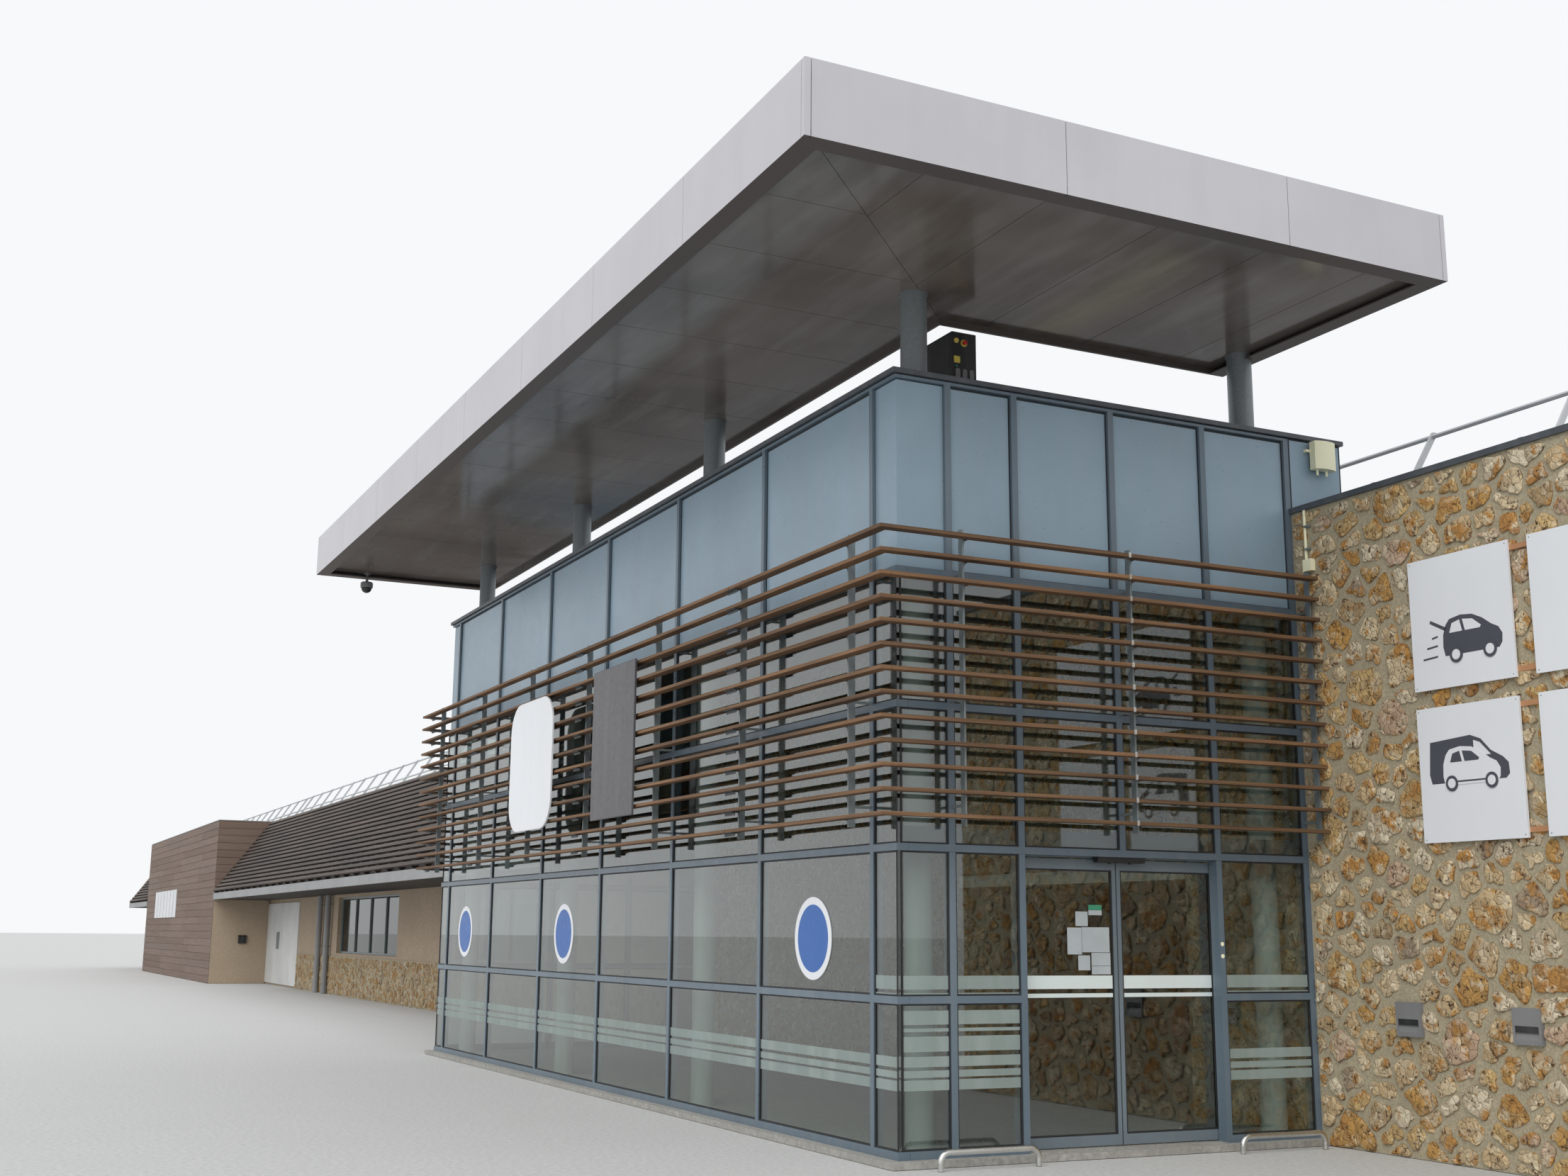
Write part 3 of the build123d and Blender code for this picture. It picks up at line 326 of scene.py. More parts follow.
# %% [markdown]
# The canopy's underside is a glossy brown grey board. It mirrors the columns and the glass, a
# little bent, because thin boards are never quite flat, and it has long faint smears. One slow
# noise bends the mirror image through a bump, and one stretched noise makes the smears.

# %% Soffit boards
soffit_look, tree, shader, place = finish("soffit board", 0.14)
slow = add(tree, "TexNoise", {"Vector": place, "Scale": 1.3, "Detail": 2.0})
smear_size = add(tree, "VectorMath", {0: place, 1: (9.0, 1.4, 1.0)}, operation="MULTIPLY")
smear = add(tree, "TexNoise", {"Vector": smear_size.outputs[0], "Scale": 1.0, "Detail": 6.0})
dust = use(tree, blotches, Scale=5.0)
brown = blend(tree, ramp(tree, slow.outputs[0], 0.35, 0.65), (0.105, 0.086, 0.074), (0.175, 0.150, 0.133))
smeared = blend(tree, ramp(tree, smear.outputs[0], 0.48, 0.80, 0.0, 0.5), brown, (0.26, 0.25, 0.23))
tree.links.new(smeared, shader.inputs["Base Color"])
tree.links.new(ramp(tree, dust.outputs["Fine"], 0.3, 0.7, 0.10, 0.20), shader.inputs["Roughness"])
relief(tree, shader, slow.outputs[0], 0.25, 0.02)
looks["soffit_brown"] = soffit_look
print("soffit finish made")

# %% [markdown]
# The canopy's edge plates are pale outside. Their undersides and the lips that hold the soffit
# boards are painted as brown as the boards, which is painted shade: they are the same metal, lying
# in shade. The solid could be split into two pieces, but the place and the normal of a face already
# tell which part it is, so one material mixes both colours.

# %% Canopy edge
fascia_low, fascia_high = (Vector(end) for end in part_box("canopy_fascia"))
soffit_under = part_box("canopy_soffit")[0][2]
fascia_look, tree, shader, place = finish("canopy edge plates", 0.40)
patch = use(tree, blotches, Scale=1.5)
streak = use(tree, rain_runs, Width=run_wide, Length=run_long)
patch_share = ramp(tree, patch.outputs["Mask"], 0.35, 0.65)
pale_plate = blend(tree, patch_share, (0.485, 0.475, 0.500), (0.525, 0.515, 0.540))
streak_share = ramp(tree, streak.outputs["Mask"], 0.0, 1.0, 0.0, 0.12)
streaked = blend(tree, streak_share, pale_plate, dirt_grey)
spot = add(tree, "SeparateXYZ", {0: place})
edge_slack, facing_down = 0.002, -0.5
hidden_lip = reckon(tree, "LESS_THAN", spot.outputs["Z"], soffit_under + edge_slack)
for axis, name in enumerate("XY"):
    for kind, limit in (("GREATER_THAN", fascia_low[axis] + edge_slack),
                        ("LESS_THAN", fascia_high[axis] - edge_slack)):
        hidden_lip = reckon(tree, "MULTIPLY", hidden_lip, reckon(tree, kind, spot.outputs[name], limit))
face = add(tree, "SeparateXYZ", {0: add(tree, "NewGeometry").outputs["Normal"]})
under = reckon(tree, "LESS_THAN", face.outputs["Z"], facing_down)
# painted shade: faces that look down and the lips behind the plates get a dark brown
painted_shade_part = reckon(tree, "MAXIMUM", hidden_lip, under)
tree.links.new(blend(tree, painted_shade_part, streaked, (0.085, 0.070, 0.062)), shader.inputs["Base Color"])
relief(tree, shader, patch.outputs["Mask"], 0.10, 0.003)
print("canopy edge finish made, lip under", round(soffit_under, 3))

# %% [markdown]
# Inside the glass the round columns catch strong light; above the roof, out in the weather and
# under the dark canopy, they lie in shade as bare galvanised steel. So below the roof they get a
# pale grey green, which is painted light, and above it a darker zinc, partly painted shade. Each
# column is one solid, so the height decides which finish shows, and a cell noise gives the zinc its
# spangle.

# %% Columns
column_look, tree, shader, place = finish("round columns", 0.42)
above_roof = 2.60
height = add(tree, "SeparateXYZ", {0: place}).outputs["Z"]
spangle = add(tree, "TexVoronoi", {"Vector": place, "Scale": 95.0})
marks = use(tree, rain_runs, Width=22.0, Length=1.2)
zinc = blend(tree, ramp(tree, spangle.outputs["Distance"], 0.1, 0.7), (0.178, 0.202, 0.212),
             (0.212, 0.238, 0.248))
# painted light: the pale grey green that the columns get below the roof
painted_light_pale = blend(tree, marks.outputs["Mask"], (0.50, 0.54, 0.51), (0.38, 0.41, 0.385))
bare = ramp(tree, height, above_roof - 0.002, above_roof)
tree.links.new(blend(tree, bare, painted_light_pale, zinc), shader.inputs["Base Color"])
tree.links.new(ramp(tree, height, above_roof - 0.002, above_roof, 0.0, 0.3), shader.inputs["Metallic"])
relief(tree, shader, spangle.outputs["Distance"], 0.08, 0.002)
print("column finish made")

# %% [markdown]
# Flat roofs are laid in strips of bitumen sheet. Each strip has its own grey, the laps are darker,
# slate grains make it sparkle a little, and dry puddles leave paler stains with a soft edge. The
# strips could be meshes, but X divided by their width gives each its number and so its grey.

# %% Roof sheets
membrane, tree, shader, place = finish("roof membrane", 0.88)
strip_wide = 0.525
across = add(tree, "SeparateXYZ", {0: place}).outputs["X"]
counted = reckon(tree, "DIVIDE", across, strip_wide)
own = add(tree, "TexWhiteNoise", {"W": reckon(tree, "FLOOR", counted)}, noise_dimensions="1D")
strip_grey = blend(tree, own.outputs["Value"], (0.170, 0.175, 0.182), (0.205, 0.208, 0.212))
lap_share = ramp(tree, reckon(tree, "FRACT", counted), 0.0, 0.045, 0.75, 0.0)
lapped = blend(tree, lap_share, strip_grey, (0.095, 0.097, 0.100))
puddle = add(tree, "TexNoise", {"Vector": place, "Scale": 0.55, "Detail": 3.0})
stained = blend(tree, ramp(tree, puddle.outputs[0], 0.57, 0.61, 0.0, 0.35), lapped, (0.285, 0.275, 0.255))
grains = add(tree, "TexNoise", {"Vector": place, "Scale": 420.0, "Detail": 2.0})
speckled = blend(tree, ramp(tree, grains.outputs[0], 0.45, 0.70, 0.0, 0.5), stained, (0.36, 0.36, 0.37))
tree.links.new(speckled, shader.inputs["Base Color"])
relief(tree, shader, grains.outputs[0], 0.3, 0.002)
looks["roof_membrane"] = membrane
print("roof finish made")

# %% [markdown]
# Masonry, render and cast concrete are blotchy, matte and lightly pitted. None of them needs a
# pattern here, because the rubble stones are meshes of their own. So one function with a coarse
# and a fine noise makes them all, and the stones' mortar too.

# %% Masonry and concrete
def masonry(name, colour, tone=0.16, scale=2.0, pit=0.35):
    """A matte mineral surface. The pit says how strongly its small holes show."""
    made, tree, shader, place = finish(name, 0.88)
    blotch = use(tree, blotches, Scale=scale)
    dark = tuple(c * (1 - tone) for c in colour)
    light = tuple(min(1, c * (1 + tone)) for c in colour)
    base = blend(tree, ramp(tree, blotch.outputs["Mask"], 0.3, 0.7), dark, light)
    speck_dark = tuple(c * 0.8 for c in dark)
    speck = blend(tree, ramp(tree, blotch.outputs["Fine"], 0.3, 0.75), speck_dark, base)
    tree.links.new(speck, shader.inputs["Base Color"])
    relief(tree, shader, blotch.outputs["Fine"], pit, 0.004)
    return made


looks["floor_concrete"] = masonry("concrete floor", (0.40, 0.39, 0.36))
looks["rubble_stone"] = masonry("mortar", (0.480, 0.415, 0.285), pit=0.9, scale=5.0)
looks["beige_tile"] = masonry("beige wall", (0.46, 0.36, 0.26), tone=0.08)
looks["render_wall"] = masonry("render", (0.47, 0.40, 0.31), tone=0.08)


# %% [markdown]
# Timber outdoors turns grey brown. The grain group gives the streaks and each board's own tone.
# The upper faces are paler, where sun and rain reach, and the normal's Z tells which these are.

# %% Timber
def timber(name, dark, light, grey=(0.30, 0.27, 0.24), across=70.0, weather=0.5):
    """Weathered timber between two browns. The weather says how grey its upper faces are."""
    made, tree, shader, place = finish(name, 0.72)
    grain = use(tree, timber_grain, Across=across)
    base = blend(tree, ramp(tree, grain.outputs["Grain"], 0.32, 0.68), dark, light)
    face = add(tree, "NewGeometry").outputs["Normal"]
    up = add(tree, "SeparateXYZ", {0: face}).outputs["Z"]
    worn = blend(tree, reckon(tree, "MULTIPLY", ramp(tree, up, 0.2, 1.0), weather), base, grey)
    board = ramp(tree, grain.outputs["Board"], 0.35, 0.65)
    tone = blend(tree, board, (0.72, 0.72, 0.72), (1.15, 1.12, 1.1))
    mix = tree.nodes.new("ShaderNodeMix")
    mix.data_type, mix.blend_type = "RGBA", "MULTIPLY"
    mix.inputs["Factor"].default_value = 1.0
    tree.links.new(worn, mix.inputs[6])
    tree.links.new(tone, mix.inputs[7])
    tree.links.new(mix.outputs[2], shader.inputs["Base Color"])
    relief(tree, shader, grain.outputs["Grain"], 0.35, 0.003)
    return made


looks["louvre_timber"] = timber("louvre timber", (0.082, 0.044, 0.022), (0.265, 0.146, 0.070),
                                grey=(0.38, 0.33, 0.28), weather=0.35)
looks["slat_timber"] = timber("roof slat timber", (0.016, 0.011, 0.009), (0.064, 0.043, 0.033),
                              grey=(0.180, 0.150, 0.130), weather=0.45)
looks["roof_board"] = timber("roof board", (0.015, 0.012, 0.010), (0.035, 0.028, 0.022))
looks["block_boards"] = timber("block boards", (0.130, 0.085, 0.062), (0.230, 0.165, 0.125),
                               across=50.0)
print(len(looks), "finishes so far")

# %% [markdown]
# The glass is faintly green. Light that only passes through it on its way to a surface inside
# is let straight through, so that the pavilion isn't dark: Light Path's Is Shadow Ray picks a
# transparent shader for that. Real panes are double, so four faces mirror the sky in them, and the
# refractive index is set above that of glass to give one pane as strong a mirror image.

# %% Glass
def clear_glass(name, tint, shade, bend=1.9):
    """Glass of a tint. The shade is what light passing to a surface inside keeps."""
    made, tree, shader, place = finish(name, 0.0)
    shader.inputs["Base Color"].default_value = (*tint, 1)
    shader.inputs["Transmission Weight"].default_value = 1.0
    shader.inputs["IOR"].default_value = bend
    open_shader = add(tree, "BsdfTransparent", {"Color": (*shade, 1)})
    path = add(tree, "LightPath")
    pick_shader = tree.nodes.new("ShaderNodeMixShader")
    tree.links.new(path.outputs["Is Shadow Ray"], pick_shader.inputs[0])
    tree.links.new(shader.outputs[0], pick_shader.inputs[1])
    tree.links.new(open_shader.outputs[0], pick_shader.inputs[2])
    tree.links.new(pick_shader.outputs[0], tree.nodes["Material Output"].inputs["Surface"])
    return made


window_glass_look = clear_glass("window glass", (0.25, 0.29, 0.27), (0.60, 0.65, 0.63), bend=1.32)
looks["glass"] = clear_glass("pavilion glass", (0.50, 0.57, 0.55), (0.86, 0.89, 0.88))
print("glass made")

# %% [markdown]
# The frame's record says which slot each solid belongs to, so one loop gives every solid its
# finish, and a solid whose slot has no finish stops the script. A few solids look different from
# the others of their slot, and a second table gives these their own finish.

# %% Give every solid its finish
slot_of = {row["node"]: row["material_slot"] for row in frame["record"]["subparts"]}
sheet_white = coated("poster sheets", (0.66, 0.68, 0.70), 0.6, runs=0.02, tone=0.05, scale=4.0)
pale_rail = coated("pale galvanised rail", (0.50, 0.52, 0.54), 0.4, metal=0.2, runs=0.1)
own_looks = {"columns": column_look, "window_glass": window_glass_look, "block_posters": sheet_white,
             "roof_guard_rail": pale_rail, "canopy_fascia": fascia_look}
for name, solid in frame["nodes"].items():
    solid.data.materials.clear()
    solid.data.materials.append(own_looks[name] if name in own_looks else looks[slot_of[name]])
print("dressed", len(frame["nodes"]), "solids")

# %% [markdown]
# The remaining pieces are meshes made here. A sheet of small helpers comes first: one collects
# corners and faces, so that hundreds of like things end up in one joined mesh, and one turns the
# collection into an object, gives it a finish and lets it ride on the building or on a door.

# %% Mesh helpers
class Pieces:
    """Corners, faces, and a tone and a shade per face for a joined mesh."""

    def __init__(self):
        self.corners, self.faces, self.tones, self.shades = [], [], [], []

    def add(self, corners, faces, tone=0.5, shades=None):
        start = len(self.corners)
        self.corners += [tuple(c) for c in corners]
        self.faces += [tuple(start + i for i in face) for face in faces]
        self.tones += [tone] * len(faces)
        self.shades += shades or [0.0] * len(faces)

    def take(self, other):
        """Take over all of another collection's faces."""
        start = len(self.corners)
        self.corners += other.corners
        self.faces += [tuple(start + i for i in face) for face in other.faces]
        self.tones += other.tones
        self.shades += other.shades

    def block(self, low, high, tone=0.5, bevel=0.0):
        """A box whose upright and level edges are cut back by the bevel."""
        b = min(bevel, *(0.45 * (high[k] - low[k]) for k in range(3)))
        if b <= 0:
            corners = [(x, y, z) for x in (low[0], high[0]) for y in (low[1], high[1])
                       for z in (low[2], high[2])]
            self.add(corners, BOX_FACES, tone)
            return
        made = bmesh.new()
        bmesh.ops.create_cube(made, size=1.0)
        for corner in made.verts:
            corner.co = Vector([(low[k] + high[k]) / 2 + corner.co[k] * (high[k] - low[k])
                                for k in range(3)])
        bmesh.ops.bevel(made, geom=made.edges[:], offset=b, segments=1, affect="EDGES")
        made.verts.index_update()
        self.add([v.co for v in made.verts], [[v.index for v in f.verts] for f in made.faces], tone)
        made.free()

    def prism(self, outline, direction, depth, tone=0.5):
        """A flat outline, in 3-D points, pushed along a direction."""
        count = len(outline)
        push = Vector(direction) * depth
        near = [Vector(p) for p in outline]
        far = [p + push for p in near]
        sides = [(k, (k + 1) % count, count + (k + 1) % count, count + k) for k in range(count)]
        self.add(near + far, [tuple(range(count))[::-1], tuple(range(count, 2 * count))] + sides, tone)

    def turned(self, profile, centre, axis, tone=0.5, count=24):
        """A profile of (radius, along) pairs turned about an axis through the centre."""
        along = Vector(axis).normalized()
        side = along.orthogonal().normalized()
        up = along.cross(side)
        rings = []
        for radius, far in profile:
            rings.append([Vector(centre) + along * far + (side * math.cos(a) + up * math.sin(a)) * radius
                          for a in (math.tau * k / count for k in range(count))])
        faces = []
        for r in range(len(rings) - 1):
            for k in range(count):
                n = (k + 1) % count
                faces.append((r * count + k, r * count + n, (r + 1) * count + n, (r + 1) * count + k))
        faces.append(tuple(range(count))[::-1])
        last = (len(rings) - 1) * count
        faces.append(tuple(range(last, last + count)))
        self.add([p for ring in rings for p in ring], faces, tone)

    def place(self, name, look, body="building", slot=None, smooth=False):
        """Make the object. The colour attribute "tone" holds tone, shade and nothing else."""
        mesh = bpy.data.meshes.new(name)
        mesh.from_pydata(self.corners, [], self.faces)
        mesh.update()
        tone = mesh.color_attributes.new("tone", "FLOAT_COLOR", "CORNER")
        values = [v for face, t, s in zip(self.faces, self.tones, self.shades)
                  for v in (t, s, 0.0, 1.0) * len(face)]
        tone.data.foreach_set("color", values)
        if smooth:
            mesh.shade_smooth()
        else:
            mesh.shade_flat()
        mesh.materials.append(look)
        made = bpy.data.objects.new(name, mesh)
        bpy.context.collection.objects.link(made)
        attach(made, body)
        count = sum(len(face) - 2 for face in self.faces)
        print(name, count, "triangles")
        return made


BOX_FACES = [(0, 1, 3, 2), (4, 6, 7, 5), (0, 4, 5, 1), (2, 3, 7, 6), (0, 2, 6, 4), (1, 5, 7, 3)]


def box_of(node):
    """A node's lowest and highest corner as vectors."""
    low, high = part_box(node)
    return Vector(low), Vector(high)


print("mesh helpers ready")

# %% [markdown]
# The rubble wall is the piece with the most skill in it. Masons set rough stones of many sizes
# in a wide bed of mortar, so nothing is in rows. Here points are thrown on the wall with a size
# each, and never too close. A power diagram, which is a Voronoi diagram that lets big stones
# take more room, gives each its cell. The cell is pulled in for the joint, its outline and its
# face are roughened with noise, and the rim sinks into the mortar. A bump map could not give
# these outlines, and real stones cast the small shadows that the photograph shows.

# %% Thrown stones
stone_throws, throw_area = 26, 3  # throws for every stone's square, and the squares to a stone
size_bias, late_size, early_size, grid_share = 1.3, 0.15, 0.85, 1.1
spread_along, squeeze_up, nearest = 1.22, 1.32, 0.90


def throw_stones(wide, tall, small, large, seed, keep_out=()):
    """Places and sizes of stones on a wall: dart throwing with a radius for each stone."""
    chance = random.Random(seed)
    found, grid, cell = [], {}, large * grid_share
    tries = int(stone_throws * wide * tall / (small * small * throw_area))
    for attempt in range(tries):
        share = 1 - attempt / tries
        radius = small + (large - small) * chance.random() ** size_bias * (late_size + early_size * share)
        a, b = chance.uniform(0, wide), chance.uniform(0, tall)
        if any(x0 - radius < a < x1 + radius and z0 - radius < b < z1 + radius
               for x0, x1, z0, z1 in keep_out):
            continue
        near = [q for i in range(-2, 3) for j in range(-2, 3)
                for q in grid.get((int(a / cell) + i, int(b / cell) + j), ())]
        if all(((a - q[0]) / spread_along) ** 2 + ((b - q[1]) * squeeze_up) ** 2
               > (nearest * (radius + q[2])) ** 2 for q in near):
            spot = (a, b, radius)
            found.append(spot)
            grid.setdefault((int(a / cell), int(b / cell)), []).append(spot)
    return found


# %% [markdown]
# A cell of the power diagram is what is left of a rectangle round the stone when the line between
# it and each neighbour has cut a part away. The cut helper is used again for the stones' outlines.

# %% Stone cells
size_pull = 0.6


def cut_cell(polygon, a, b, c):
    """The part of a polygon where a*x + b*y <= c."""
    kept = []
    for k, p in enumerate(polygon):
        q = polygon[(k + 1) % len(polygon)]
        dp, dq = a * p[0] + b * p[1] - c, a * q[0] + b * q[1] - c
        if dp <= 0:
            kept.append(p)
        if dp * dq < 0:
            t = dp / (dp - dq)
            kept.append((p[0] + t * (q[0] - p[0]), p[1] + t * (q[1] - p[1])))
    return kept


def stone_cells(spots, wide, tall, reach):
    """Each stone's cell of the power diagram, clipped to the wall."""
    cells = []
    for x, y, r in spots:
        x0, x1 = max(0, x - reach), min(wide, x + reach)
        y0, y1 = max(0, y - reach), min(tall, y + reach)
        polygon = [(x0, y0), (x1, y0), (x1, y1), (x0, y1)]
        for u, v, s in spots:
            dx, dy = u - x, v - y
            gap = dx * dx + dy * dy
            if 0 < gap < 4 * reach * reach:
                far = (gap + size_pull * (r * r - s * s)) / 2
                polygon = cut_cell(polygon, dx, dy, far + dx * x + dy * y)
        cells.append((x, y, r, polygon))
    return cells


print("stone helpers ready")

# %% [markdown]
# Masons choose blocky stones, so each cell is also cut to a slightly turned rectangle of its own.
# Then the rim is measured in many directions: as far as the cell's edge, roughened by noise from
# mathutils, less the mortar joint. The noise uses the stone's own number, so no two are alike.

# %% Stone outlines
turn_most, corner_play, long_least, long_most = 0.34, 0.12, 1.1, 2.3
long_side, short_side, short_power = 1.06, 1.16, 0.40
rim_noise = ((1.5, 3.7, 0.20), (5.0, 9.1, 0.16))  # bends round the rim, the seed's share, the depth
joint_least, joint_mean, joint_play, joint_own = 0.2, 0.90, 1.3, 2.3
rim_least, rim_most, reach_up, reach_along, own_weight = 0.35, 0.98, 1.9, 0.5, 10
farthest = 9.0


def edge_far(polygon, x, y, ca, sa):
    """Distance from a point inside a convex polygon to its edge, in one direction."""
    best = farthest
    for k, p in enumerate(polygon):
        q = polygon[(k + 1) % len(polygon)]
        ex, ey = q[0] - p[0], q[1] - p[1]
        under = ca * ey - sa * ex
        if abs(under) > 1e-12:
            t = ((p[0] - x) * ey - (p[1] - y) * ex) / under
            s = ((p[0] - x) * sa - (p[1] - y) * ca) / under
            if t > 0 and -1e-6 <= s <= 1 + 1e-6:
                best = min(best, t)
    return best


def blocky(cell, joint, chance):
    """A stone's cell, cut to a slightly turned rectangle of its own."""
    x, y, r, polygon = cell
    turn_by, longer = chance.uniform(-turn_most, turn_most), chance.uniform(long_least, long_most)
    for quarter in range(4):
        way = turn_by + quarter * math.pi / 2 + chance.uniform(-corner_play, corner_play)
        ca, sa = math.cos(way), math.sin(way)
        side = r * (long_side * longer if quarter % 2 == 0 else short_side / longer ** short_power) + joint
        polygon = cut_cell(polygon, ca, sa, ca * x + sa * y + side)
    return polygon


def rim_reach(polygon, cx, cy, r, joint, steps, seed):
    """How far a stone reaches in each direction."""
    far, limits = [], []
    for k in range(steps):
        angle = math.tau * k / steps
        ca, sa = math.cos(angle), math.sin(angle)
        edge = edge_far(polygon, cx, cy, ca, sa)
        limits.append(rim_most * edge)
        reach = min(edge, r * (reach_up + reach_along * abs(ca)))
        rough = sum(noise.noise(Vector((ca * bends, sa * bends, seed * own))) * deep
                    for bends, own, deep in rim_noise)
        uneven = joint_play * noise.noise(Vector((ca, sa, seed * joint_own)))
        bed = joint * max(joint_least, joint_mean + uneven)
        far.append(max(rim_least * reach, reach * (1.0 + rough) - bed))
    return [min(limits[k], (far[k - 1] + own_weight * far[k] + far[(k + 1) % steps]) / (own_weight + 2))
            for k in range(steps)]


print("stone outlines ready")

# %% [markdown]
# A stone is built as rings round its middle. The outer ring lies under the mortar's face, the next
# ones climb steeply and then flatten, and noise moves their points up and down, like chipped
# faces. Every other ring is turned by half a step, which makes the triangles even.

# %% Rough stones
ring_shares = ((1.0, -0.25), (0.985, 0.50), (0.92, 0.78), (0.72, 0.92), (0.40, 1.0))
height_least, height_most, lean_most, deepest, least_size = 0.45, 0.9, 0.35, -0.003, 0.01
chip_size, chip_own, chip_share = 28, 1.3, 0.9
chip_noise = ((1.0, 0.40), (3.1, 0.35))  # size against the first noise, and the depth
middle_lift, middle_size, middle_play = 1.05, 30, 0.3


def ring_faces(count, steps):
    """Triangles between a stone's rings, then a fan from the last ring to the middle."""
    faces = []
    for ring in range(count - 1):
        for k in range(steps):
            n = (k + 1) % steps
            a0, a1 = ring * steps + k, ring * steps + n
            b0, b1 = (ring + 1) * steps + k, (ring + 1) * steps + n
            if ring % 2 == 0:
                faces += [(a0, a1, b0), (a1, b1, b0)]
            else:
                faces += [(a0, b1, b0), (a0, a1, b1)]
    last = (count - 1) * steps
    return faces + [(last + k, last + (k + 1) % steps, count * steps) for k in range(steps)]


def add_stone(pieces, to_wall, cell, joint, proud, steps, seed, rings=ring_shares):
    """One rough stone over its cell. to_wall turns (along, up, out) into a point of the model."""
    chance = random.Random(seed)
    polygon, r = blocky(cell, joint, chance), cell[2]
    if len(polygon) < 3:
        return
    cx = sum(p[0] for p in polygon) / len(polygon)
    cy = sum(p[1] for p in polygon) / len(polygon)
    height = proud * chance.uniform(height_least, height_most)
    lean_a, lean_b = chance.uniform(-lean_most, lean_most), chance.uniform(-lean_most, lean_most)
    rim_far = rim_reach(polygon, cx, cy, r, joint, steps, seed)
    corners = []
    for ring, (share, lift) in enumerate(rings):
        for k in range(steps):
            angle = math.tau * (k + 0.5 * (ring % 2)) / steps
            reach = rim_far[k] if ring % 2 == 0 else (rim_far[k] + rim_far[(k + 1) % steps]) / 2
            a, b = reach * share * math.cos(angle), reach * share * math.sin(angle)
            spot = Vector(((cx + a) * chip_size, (cy + b) * chip_size, seed * chip_own))
            chip = sum(noise.noise(spot * size) * deep for size, deep in chip_noise)
            tilt = (lean_a * a + lean_b * b) / max(r, least_size)
            up = height * (lift + (chip_share * chip + tilt if ring > 0 else 0))
            corners.append(to_wall(cx + a, max(cy + b, 0.0), min(max(up, deepest), proud)))
    bulge = noise.noise(Vector((cx * middle_size, cy * middle_size, seed))) * middle_play
    corners.append(to_wall(cx, cy, min(height * (middle_lift + bulge), proud)))
    faces = ring_faces(len(rings), steps)
    # painted shadow: the outermost band of faces, where stone meets mortar, carries a shade of 1
    shades = [1.0] * (2 * steps) + [0.0] * (len(faces) - 2 * steps)
    pieces.add(corners, faces, chance.random(), shades)


print("a stone has", len(ring_shares), "rings")

# %% [markdown]
# A whole wall is then three calls: throw the points, cut the cells and add a stone to each. All the
# stones of a wall become one mesh, because hundreds of objects would be slow and hard to handle.

# %% Walls of stones
cell_reach = 2.3  # how far a cell may reach, in sizes of the largest stone


def stone_face(name, to_wall, wide, tall, small, large, proud, joint, steps, seed, keep_out=(),
               rings=ring_shares):
    """All the stones of one rectangle of wall, as one joined mesh."""
    spots = throw_stones(wide, tall, small, large, seed, keep_out)
    cells = stone_cells(spots, wide, tall, large * cell_reach)
    pieces = Pieces()
    for number, cell in enumerate(cells):
        add_stone(pieces, to_wall, cell, joint, proud, steps, seed * 1000 + number, rings)
    print(name, len(cells), "stones")
    return pieces


# %% [markdown]
# The stones' own colours are cream, ochre, rust and a pinkish grey. Each stone carries a tone
# between 0 and 1, and a colour ramp with hard steps turns the tone into one of these colours.
# Noise then stains the stone unevenly, and a cell noise breaks its face into chips, each darkened
# by its own random amount, which paints light and shade on the chips. The rim's faces carry a
# shade, which is a painted shadow where stone meets mortar.

# %% Stone colours
stone_colours = ((0.00, (0.78, 0.54, 0.24)), (0.15, (0.70, 0.39, 0.11)), (0.26, (0.92, 0.75, 0.48)),
                 (0.46, (0.58, 0.42, 0.23)), (0.54, (0.84, 0.63, 0.36)), (0.70, (0.58, 0.28, 0.08)),
                 (0.75, (0.95, 0.84, 0.62)), (0.89, (0.78, 0.56, 0.40)), (0.95, (0.46, 0.36, 0.26)))


def tone_ramp(tree, source, stops, kind="CONSTANT"):
    """A colour ramp with the given stops."""
    made = add(tree, "ValToRGB", {"Fac": source})
    made.color_ramp.interpolation = kind
    parts = made.color_ramp.elements
    while len(parts) < len(stops):
        parts.new(0.5)
    for part, (place, colour) in zip(parts, stops):
        part.position, part.color = place, (*colour, 1)
    return made.outputs[0]


def tone_of(tree, part="Red"):
    """The tone that each face of a joined mesh carries, or its shade with part Green."""
    made = add(tree, "Attribute", attribute_name="tone", attribute_type="GEOMETRY")
    return add(tree, "SeparateColor", {0: made.outputs["Color"]}).outputs[part]


# %% [markdown]
# From the tone to the finished stone the colour goes through five steps: rust stains, pale washed
# patches, painted light and shade for each chip of the face, dark pits and the painted shadow of
# the rim. The same noises feed the relief, so that what looks like a pit also lies deeper.

# %% Stone finish
stone_look, tree, shader, place = finish("rubble stones", 0.86)
plain = tone_ramp(tree, tone_of(tree), stone_colours)
stain = use(tree, blotches, Scale=11.0)
rust = blend(tree, ramp(tree, stain.outputs["Mask"], 0.52, 0.58), plain, (0.66, 0.32, 0.075))
pale = add(tree, "TexNoise", {"Vector": place, "Scale": 14.0, "Detail": 6.0, "Roughness": 0.7})
washed = blend(tree, ramp(tree, pale.outputs[0], 0.51, 0.60, 0.0, 0.80), rust, (0.98, 0.86, 0.62))
facets = add(tree, "TexVoronoi", {"Vector": place, "Scale": 30.0, "Randomness": 1.0})
facet_tone = add(tree, "SeparateColor", {0: facets.outputs["Color"]}).outputs[0]
